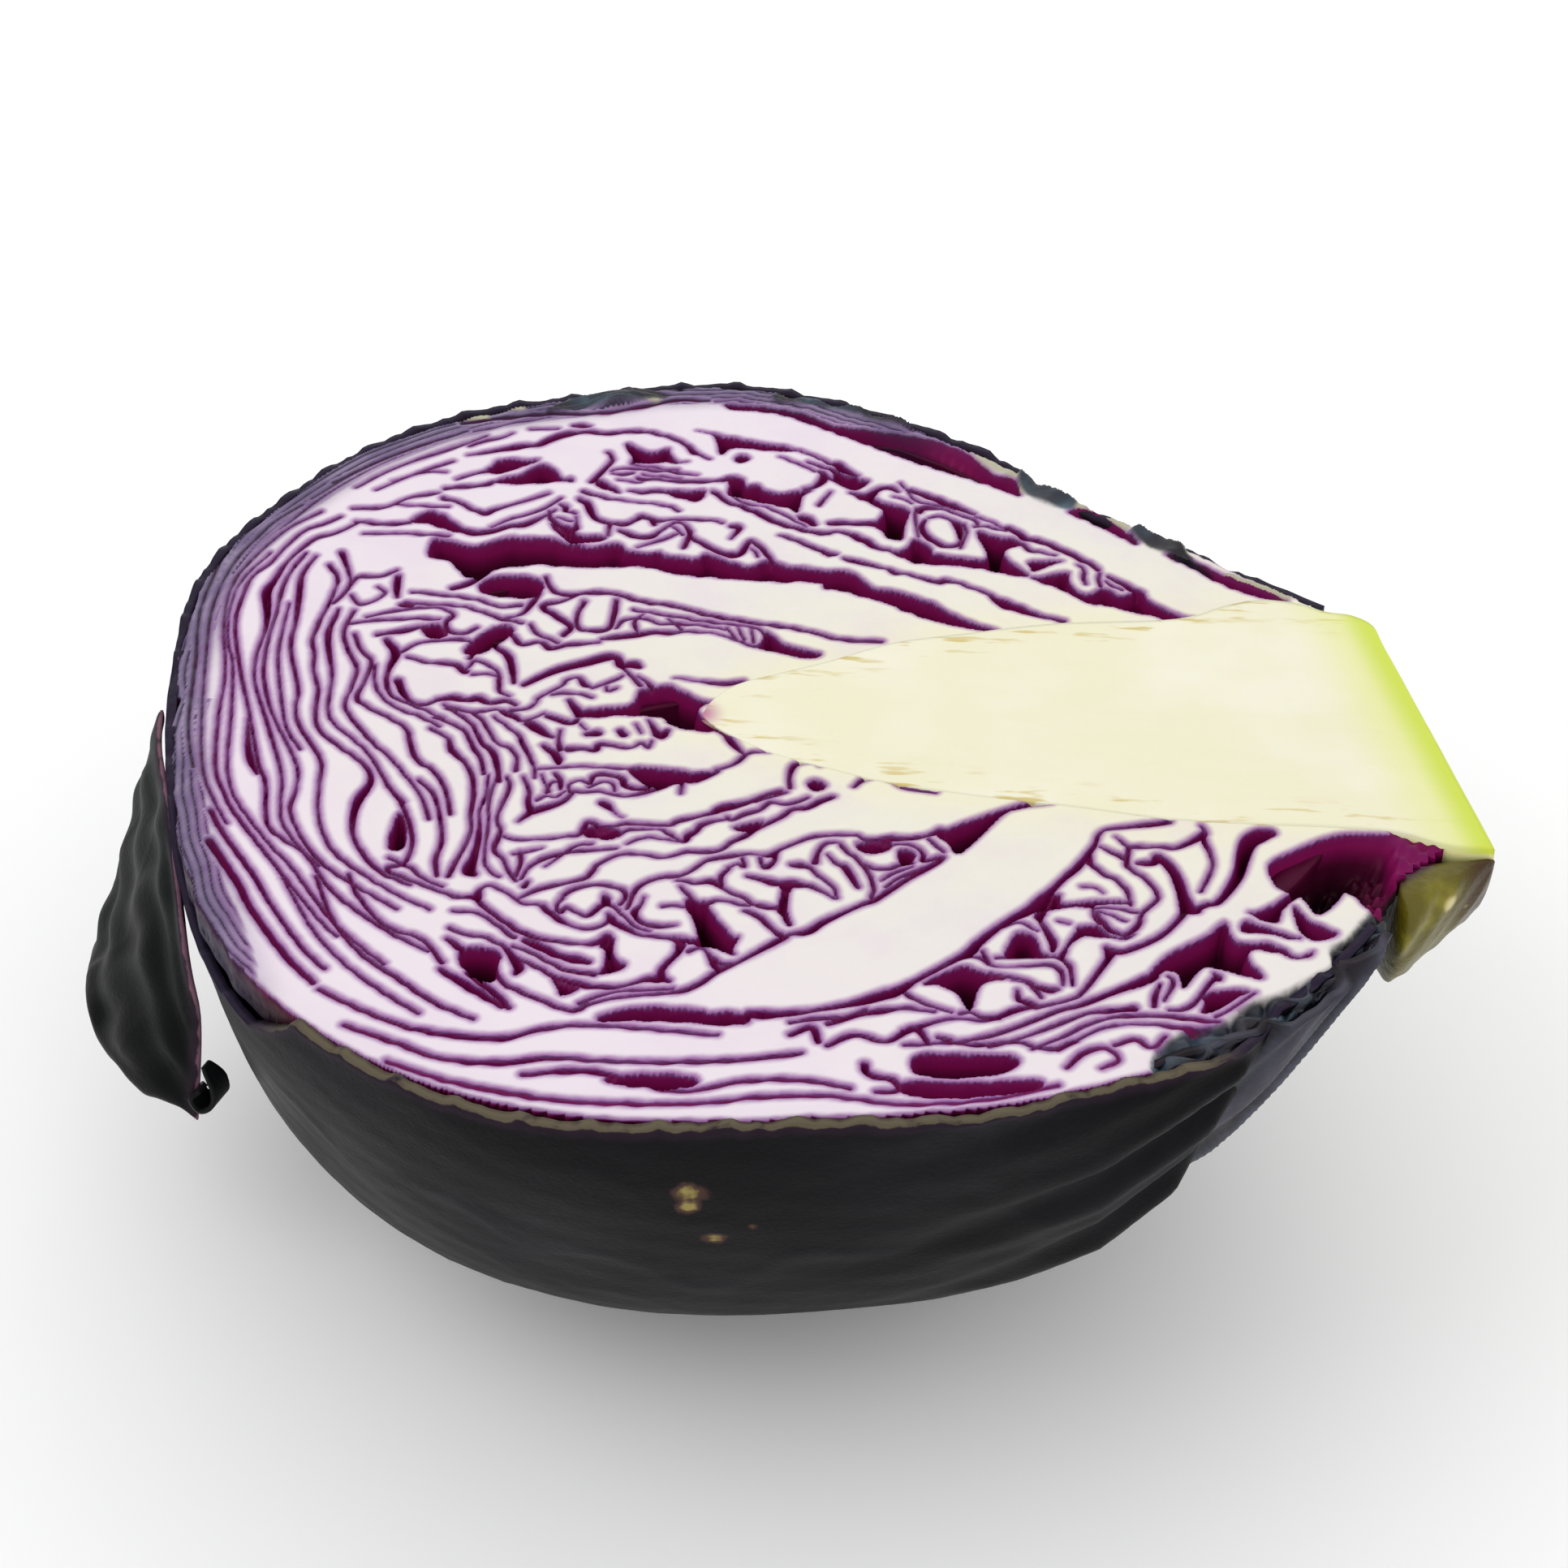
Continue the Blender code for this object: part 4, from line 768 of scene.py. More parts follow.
leafSections = {
    "upper_leaf_1": (
        (63, 26.6, 4), (57, 29.8, 5), (51, 33.6, 6.6), (45, 37.9, 8), (37.5, 43, 8.2), (29.8, 48.8, 8),
        (22, 53.5, 7.4), (14, 58, 6.8), (6, 62.3, 6.4), (-2, 66.3, 6.6), (-9, 69.6, 8),
        (-16, 71.8, 9), (-22, 72.6, 8.4), (-28, 72, 6), (-34, 70.6, 3), (-42, 68.4, 2.2),
        (-51, 64.8, 2), (-60, 59.4, 2), (-69, 51, 2), (-76, 40.6, 2), (-81, 30, 2),
        (-82.4, 18, 2), (-81.2, 5, 2), (-79.4, -8, 2), (-76.6, -20, 2), (-72, -33, 2),
        (-64.6, -45.8, 2), (-54.6, -56.6, 2), (-43, -64.4, 2), (-30, -69.2, 2), (-18, -70.6, 1.6),
    ),
    "upper_leaf_2": (
        (47, 23.4, 3), (41.6, 26, 3.8), (36, 28.2, 4.6), (30, 30.8, 5.8), (25, 32.7, 5.4), (20, 34.4, 4.4),
        (15, 35.1, 3.2), (9, 37.3, 3.2), (4, 40, 4), (0, 41.7, 4.6), (-5, 43.9, 3.4),
        (-11, 46, 2.6), (-18, 48, 2.2), (-28, 50.2, 2), (-40, 51, 2), (-52, 49.5, 2),
        (-62, 46.2, 2), (-70, 41.4, 2.4), (-75.6, 34.6, 3.2), (-78.4, 27, 3.6), (-78.6, 18, 3.8),
        (-77.6, 8, 3.2), (-76.2, -2, 2.6), (-74.6, -10, 2.8), (-72.6, -18, 3.4), (-69, -27, 2.6),
        (-64.8, -35, 2), (-59.4, -43.4, 2), (-52, -52, 2), (-44, -58, 2), (-35, -61.8, 2),
        (-25, -63.2, 1.8),
    ),
    "upper_leaf_3": (
        (28, 20.4, 3.6), (23.4, 24, 4.2), (19.5, 27.1, 5.2), (14.8, 30.3, 4.6), (9.5, 32.4, 3.8), (5, 34.2, 3),
        (0, 36.4, 3.4), (-5, 38.2, 4.6), (-10, 41, 4.4), (-15, 43, 3.8), (-21, 43, 2.6),
        (-29, 41.6, 2), (-38, 41, 2), (-48, 40.4, 2), (-58, 40.4, 2), (-66, 38.4, 2),
        (-71.2, 34.2, 2.4), (-72.3, 28, 3.2), (-70.9, 20, 3.6), (-69.6, 12, 3), (-67.8, 4, 2.8),
        (-66.8, -2, 2.6), (-64.8, -7.5, 2.2), (-63.2, -13, 2.8), (-63, -20, 2.4), (-61.9, -28, 2),
    ),
    "upper_leaf_4": (
        (21, 18.4, 4.4), (15.5, 20.9, 4.8), (10, 22.5, 6.2), (4.5, 23.9, 8.2), (-1, 25.2, 9.2), (-7, 26.4, 9.2),
        (-13, 27.2, 8.8), (-19, 28.5, 7.8), (-25, 29.9, 7), (-31, 30.7, 6.2), (-37, 31, 4.6),
        (-42, 31.4, 2.6), (-47, 29.6, 2.4), (-52, 29, 4), (-57, 29.4, 5), (-61.4, 27, 2.6),
        (-64.7, 23.6, 2), (-65.9, 17, 2), (-65.5, 10, 2.2), (-64.2, 3, 2), (-62.8, -3, 2),
        (-60.4, -8.5, 2), (-59, -14, 2), (-59.6, -20, 2), (-59.4, -25.6, 2), (-57.1, -31.6, 2),
        (-53, -37, 2.2), (-47, -40.6, 2.4), (-40, -43.2, 2.4), (-34.5, -45.6, 2),
    ),
    "upper_leaf_5": (
        (9, 15.4, 2.6), (3.5, 16.9, 2.6), (-3, 18.4, 3), (-9, 20.2, 1.8), (-16, 21.4, 2), (-23, 22.8, 2.4),
        (-30, 23.4, 3), (-36, 24.6, 3.4), (-43, 23.4, 2.4), (-50, 23.8, 2.4), (-56, 23.2, 2),
        (-60.3, 20.4, 2), (-62.4, 15, 2.4), (-62, 9, 2.4), (-60.6, 3, 2.2), (-58.4, -2.5, 2.4),
        (-55.8, -7.5, 2.4), (-54.7, -12.5, 2.4), (-55, -18, 4), (-54.6, -24, 5.6),
        (-53.4, -29.5, 4.4), (-50, -34, 2.2), (-44.4, -37.3, 2), (-37.5, -39.6, 2.2), (-31, -42.4, 2),
    ),
    "upper_leaf_6": (
        (2, 10.6, 5), (-2, 12, 5.6), (-6, 12.6, 6.6), (-11, 12.8, 8.2), (-17, 13.6, 9.6), (-22, 13.6, 8),
        (-26.5, 14, 4.5), (-31, 15, 2.4), (-37, 16.6, 2.4), (-44, 18, 2.6), (-51, 19.2, 2.2),
        (-56.6, 17.6, 2), (-58.9, 13, 2.2), (-58.6, 7.5, 2), (-57, 2.4, 2), (-54.4, -2, 2.2),
        (-51.8, -6.5, 2.4), (-50.9, -12, 2.4), (-50.6, -18, 2.4), (-49.6, -24, 2.4),
        (-48.6, -29.5, 2.2), (-44.6, -33.8, 2), (-38, -36.2, 2.2), (-32, -38.8, 2),
    ),
    "lower_leaf_1": (
        (-5.6, -3.4, 3), (-9.8, -6, 4), (-14, -7, 6.4), (-17.4, -7.3, 7.2), (-21, -8.5, 5), (-26, -9.6, 3.2),
        (-31.6, -10.8, 2), (-34.6, -8.4, 1.8), (-36.2, -3.5, 1.8), (-39.4, 0.8, 1.8),
    ),
    "lower_leaf_2": (
        (-0.5, -7.4, 6), (-4.4, -10.6, 6.2), (-9, -13.6, 6.4), (-14, -16.6, 6.4), (-19, -18.6, 6.4),
        (-24, -19.9, 6), (-29, -21, 6), (-33.6, -21.6, 4.8), (-37, -20, 2.4), (-38.4, -15, 2),
        (-38.9, -9.5, 2), (-40.6, -4, 2), (-44, 0.2, 2), (-48, 3, 2),
    ),
    "lower_leaf_3": (
        (27, -13.4, 4), (21, -16.4, 5), (14, -18.4, 7), (7, -19.2, 7.8), (1, -20.8, 6), (-4, -23.8, 4.4),
        (-9.5, -26.2, 2.6), (-16, -27.4, 2.4), (-23, -28.4, 2.6), (-30, -30.4, 2.4),
        (-36.6, -31, 2.2), (-41.8, -28.4, 2.2), (-43.8, -22, 2.2), (-44.6, -15.5, 2.2),
        (-46, -9.5, 2.2), (-48.9, -4, 2.2), (-52.4, 0.2, 2.2), (-55, 4.4, 2),
    ),
    "lower_leaf_4": (
        (37, -13.6, 9), (33, -18, 10), (29, -22.3, 11), (25, -27.5, 12), (20, -33.5, 13), (14, -39.8, 13.2),
        (8, -45.2, 12.6), (1, -49.6, 10.6), (-6, -52.6, 7), (-13, -54.8, 3.2), (-20, -56.6, 3),
        (-27, -58.2, 3.2), (-34, -58, 2.6), (-40, -55.4, 4.8), (-46, -51.1, 6), (-52, -45.9, 6),
        (-57, -39.8, 4.2), (-61.2, -33, 2.4), (-65, -25.6, 2), (-68, -17, 2), (-70.6, -8, 2),
        (-72.4, 2, 1.8), (-74, 12, 1.8), (-75, 22, 1.8), (-75.6, 28, 1.6),
    ),
    "lower_leaf_5": (
        (55.6, -16, 3.4), (54.8, -20.4, 3.2), (53.2, -25, 3), (51.6, -29.4, 3), (47.4, -34, 3.2), (42, -38, 3.4),
        (37, -43.2, 3), (31, -48, 2.8), (24, -52, 2.6), (16.5, -55.2, 2.4), (8, -57.4, 2.2),
        (-1, -58.4, 2), (-10, -59.4, 2), (-19, -61.2, 1.8),
    ),
    "lower_leaf_6": (
        (66, -16, 7), (63.6, -20.8, 6.6), (60.4, -26, 6), (56.4, -31, 5.2), (51.6, -36, 4.8), (46.4, -40.6, 5),
        (41.4, -45.4, 5), (36, -50.2, 4), (29.6, -54.6, 3), (21.6, -58.2, 2.6), (12.4, -60.4, 2.4),
        (2, -61.6, 2.2), (-8, -62.6, 2), (-18, -64.4, 2), (-30, -66, 1.8), (-42, -61.4, 1.8),
    ),
    "outer_leaf": (
        (-36, 74.2, 1.6), (-44, 71.8, 1.6), (-53, 67.8, 1.6), (-62, 62.2, 1.6), (-71, 53.6, 1.6),
        (-78.4, 42, 1.6), (-82.8, 32, 1.6), (-84.6, 20, 1.6), (-83.4, 6, 1.6), (-81.6, -7, 1.6),
        (-78.8, -20, 1.6), (-74.4, -34, 1.6), (-67, -47.4, 1.6), (-56.6, -59, 1.6),
        (-44, -67.2, 1.6), (-30, -71.8, 1.6), (-15, -72.9, 1.6), (-1, -71, 1.6),
        (13, -69.4, 1.6), (26, -66.6, 1.6), (37, -61.4, 1.6),
    ),
    "wrapper_leaf_far": (
        (57.4, 35, 1.5), (51.4, 39.7, 1.5), (44.6, 44.7, 1.5), (37, 49.6, 1.5), (30, 54.6, 1.5),
        (25.4, 58.6, 1.5), (20.4, 61.8, 1.5), (14.6, 66, 1.5), (8.6, 69.4, 1.5), (3, 70.2, 1.5),
        (-3, 73.6, 1.5), (-10, 76.2, 1.5), (-18.6, 78, 1.5), (-27, 77, 1.5), (-34, 75.4, 1.5),
    ),
}
heartLeaf = ((-19.4, -2, 1.6), (-22.6, -4, 1.8), (-26, -3.2, 1.8), (-29.4, -3.4, 1.6), (-31.8, -0.8, 1.6),
             (-31, 2.4, 1.8), (-26, 2.8, 1.8), (-21.4, 4.8, 1.8), (-16.6, 6.4, 1.6))


def pressed(lines, gap=0.42):
    # thins each leaf where a neighbour leaves it less room than its drawn thickness
    made = {}
    for name, line in lines.items():
        half = line[:, 2] / 2
        for other, otherLine in lines.items():
            if other == name:
                continue
            apart = np.hypot(line[:, None, 0] - otherLine[None, :, 0], line[:, None, 1] - otherLine[None, :, 1])
            share = line[:, None, 2] / (line[:, None, 2] + otherLine[None, :, 2])
            half = np.minimum(half, (apart * share).min(axis=1) - gap / 2)
        kernel = np.array([0.25, 0.5, 0.25])
        half = np.minimum(half, np.convolve(np.pad(half, 1, "edge"), kernel, "valid"))
        made[name] = np.column_stack([line[:, :2], np.maximum(half, 0.12) * 2])
    return made


face = {
    "gap": 0.26,             # the lattice over the cut
    "block": 4,              # lattice steps in one block; each block belongs to one leaf
    "deep": 9.0,             # how far down the widest gaps go
    "inside": 0.9,           # room left to the wrapper's rim
    "ring": 1.15,            # from one thin outermost leaf to the next
    "foldLines": {           # middle lines of the folded margins, as x, y and width
        "folded_leaf_far": ((38, 34, 2), (26, 41, 6), (14, 47, 9), (0, 53, 10), (-14, 58, 12), (-30, 59, 12),
                            (-46, 57, 8), (-58, 53, 4)),
        "folded_leaf_heart": ((-16, 2, 5), (-24, 1, 7), (-32, 1, 7), (-40, 2, 4)),
        "folded_leaf_middle": ((22, -17, 3), (6, -17, 5), (-6, -20, 5), (-18, -24, 7), (-32, -26, 5)),
        "folded_leaf_near": ((12, -29, 5), (4, -34, 8), (-6, -40, 9), (-18, -44, 10), (-30, -49, 8), (-38, -50, 5)),
        "folded_leaf_stem": ((56, -22, 5), (46, -28, 8), (38, -38, 8), (28, -46, 8), (14, -54, 5)),
        "folded_leaf_rim": ((68, -30, 6), (58, -42, 7), (46, -53, 6), (34, -60, 6), (18, -65, 6), (0, -66, 6),
                            (-16, -67, 6), (-32, -66, 5)),
    },
}


def cutLattice():
    # the whole cut as one even lattice of points and marks; beyond the wrapper's rim each point is
    # drawn in along its ray, and its height falls with the distance it was beyond
    gap = face["gap"]
    x, y = np.meshgrid(np.arange(-90, 82, gap), np.arange(-78, 84, gap), indexing="ij")
    share, reach = rimShare(x, y)
    torn = 0.3 * sway(77, ((17, 0.5), (8, 0.4)), x, y) * outerness(x, y)
    stemSide = step(26, 38, x) * step(-20, -34, y)
    besideStub = step(71, 75, x) * step(-38, -32, y) * (y < 0)
    even = reach * (1 - share) + 9 * besideStub
    room = even - face["inside"] - torn - 0.6 * stemSide
    beyond = np.maximum(-room, 0)
    drawnIn = np.minimum(1, 1 - np.where(room < 0, -room / np.hypot(x - head["tipX"], y), 0))
    x, y = head["tipX"] + (x - head["tipX"]) * drawnIn, y * drawnIn
    clear = gapClearance(x, y)
    # the thin outermost leaves: a line every ring mm inwards from the rim, where none is drawn
    rings = (even + 0.4 * sway(14, ((33, 0.6), (15, 0.4)), x, y)) / face["ring"]
    rings = np.abs(rings - np.round(rings)) * face["ring"] - 0.1 + 3 * step(0.55, 0.2, outerness(x, y))
    clear = np.minimum(clear, np.where(clear > 0.6, rings, 9))
    clear = np.where(beyond > 0, np.minimum(clear, -3 * beyond), np.minimum(clear, room + 0.3))
    clear = np.where(besideStub > 0.5, np.minimum(clear, 74 - x), clear)
    stalkAway = edgeDistance(x, y, stalk["farEdge"] + stalk["nearEdge"][::-1])
    skin = np.zeros_like(x)
    for outline in drawing["skins"]:
        skin = np.maximum(skin, step(0.5, -0.5, edgeDistance(x, y, outline)))
    pale = np.zeros_like(x)
    for outline in drawing["paleEdges"]:
        line = smoothCurve(outline, 0.5)
        here = nearby(x, y, line, 2)
        away = np.hypot(x[here][:, None] - line[None, :, 0], y[here][:, None] - line[None, :, 1]).min(axis=1)
        pale[here] = np.maximum(pale[here], step(1.3, 0.3, away))
    depthLimit = np.minimum(face["deep"], 1.6 - stemSide + 0.9 * np.maximum(room, 0))
    depthLimit += (0.7 - depthLimit) * besideStub
    free = step(0, 6, fromStalk(x, y))
    height = 0.05 * sway(5, ((8, 0.5), (21, 0.6)), x, y) * free - 0.2 * np.exp(-np.maximum(clear, 0) / 0.25)
    height += 0.1 * sway(6, ((3.2, 0.5), (5.5, 0.5)), x, y) * step(1.6, 0.4, clear) * free
    # bare outer skin: ruffled on the far side, pleats running to the stem on the near side
    pleats = np.abs(np.sin(np.degrees(np.arctan2(y + 26, x - 86)) * np.pi / 5 + sway(7, ((9, 1),), x, y)))
    height += skin * np.where(y < -20, 1.3 * pleats - 1.7, 0.8 + 0.8 * sway(8, ((19, 0.7), (11, 0.4)), x, y))
    height += 0.25 * pale
    bumps = (0.9 - 0.5 * besideStub) * sway(9, ((2.6, 0.5), (4.4, 0.6)), x, y) * step(0.5, 2.5, -clear)
    fall = depthLimit * (1 - np.exp(-(np.maximum(-clear, 0) / 1.1) ** 1.4))
    height = np.maximum(height - fall - bumps * (clear < 0), -depthLimit - 1) - 4 * beyond
    height = np.maximum(height, -depthLimit - 3 + 2.2 * stemSide)
    points = np.stack([x, y, height], -1)
    # depth: how far a gap's wall lies under the cut, plus 5 beyond the rim; the cut leaf material paints walls darker
    # with it, as painted shade
    marks = {"rind": clear + 0.06, "depth": np.where(clear < 0, -height, 0) + 5 * (beyond > 0),
             "away": fromStalk(x, y), "outer": outerness(x, y), "skin": skin, "pale": pale}
    keep = (beyond < 1.6) & (stalkAway > -1.2) & (x < np.where(y < 0, np.clip(79.3 + 1.05 * (y + 22.4), 73, 81), 72))
    return points, marks, keep, -depthLimit - 4 + 2.6 * stemSide


def ownerOf(x, y, lines):
    # index of the leaf whose drawn section lies nearest, counted from its edge
    best, owner = np.full(x.shape, 1e9), np.zeros(x.shape, int)
    for k, line in enumerate(lines):
        away = np.full(x.shape, 1e9)
        for px, py, width in line[::3]:
            away = np.minimum(away, np.hypot(x - px, y - py) - width / 2)
        owner = np.where(away < best, k, owner)
        best = np.minimum(away, best)
    return owner


def faceBlocks(points, marks, floorHeight, blocks):
    # closed body of one leaf's blocks: fine cells on top, one cell a block underneath, and walls
    # that take in all the fine points of a block's side
    size, (rows, columns) = face["block"], points.shape[:2]
    top = np.arange(rows * columns).reshape(rows, columns)
    below = top + rows * columns
    cells = np.repeat(np.repeat(blocks, size, 0), size, 1)
    i, j = np.nonzero(cells)
    faces = [np.stack([top[i, j], top[i + 1, j], top[i + 1, j + 1], top[i, j + 1]], 1)]
    bi, bj = (v * size for v in np.nonzero(blocks))
    faces.append(np.stack([below[bi, bj], below[bi, bj + size], below[bi + size, bj + size],
                           below[bi + size, bj]], 1))
    framed = np.pad(blocks, 1)
    for stepI, stepJ, start, along in ((0, -1, (0, 0), (1, 0)), (1, 0, (size, 0), (0, 1)),
                                       (0, 1, (size, size), (-1, 0)), (-1, 0, (0, size), (0, -1))):
        bare = blocks & ~framed[1 + stepI:framed.shape[0] - 1 + stepI, 1 + stepJ:framed.shape[1] - 1 + stepJ]
        bi, bj = (v * size for v in np.nonzero(bare))
        bi, bj = bi + start[0], bj + start[1]
        rim = [top[bi + along[0] * k, bj + along[1] * k] for k in range(size, -1, -1)]
        foot = [below[bi + along[0] * k, bj + along[1] * k] for k in (0, size)]
        faces.append(np.stack(rim + foot, 1))
    used, flat = np.unique(np.concatenate([f.ravel() for f in faces]), return_inverse=True)
    low = points.copy()
    low[..., 2] = floorHeight
    both = np.concatenate([points.reshape(-1, 3), low.reshape(-1, 3)])[used]
    twice = {name: np.tile(value.ravel(), 2)[used] for name, value in marks.items()}
    # bottoms get depth 12, the darkest painted shade of the gap walls
    for name, value in (("depth", 12), ("rind", -3)):
        twice[name] = np.where(used >= rows * columns, value, twice[name])
    made = grid(both[:, None], **{name: value[:, None] for name, value in twice.items()})
    ends = np.cumsum([f.size for f in faces])
    made["faces"] = [part.reshape(f.shape) for part, f in zip(np.split(flat.ravel(), ends[:-1]), faces)]
    return made


lines = {}
for name, points in leafSections.items():
    line = smoothCurve(points, 0.9)
    inside = fromStalk(line[:, 0], line[:, 1]) <= 0
    lines[name] = line[max(int(np.argmin(inside)) - 3, 0) if inside[0] else 0:]
lines["heart_leaf"] = smoothCurve(heartLeaf, 0.6)
lines = pressed(lines)
rooted = {name for name, line in lines.items() if fromStalk(*line[0, :2][:, None])[0] < 0.5}

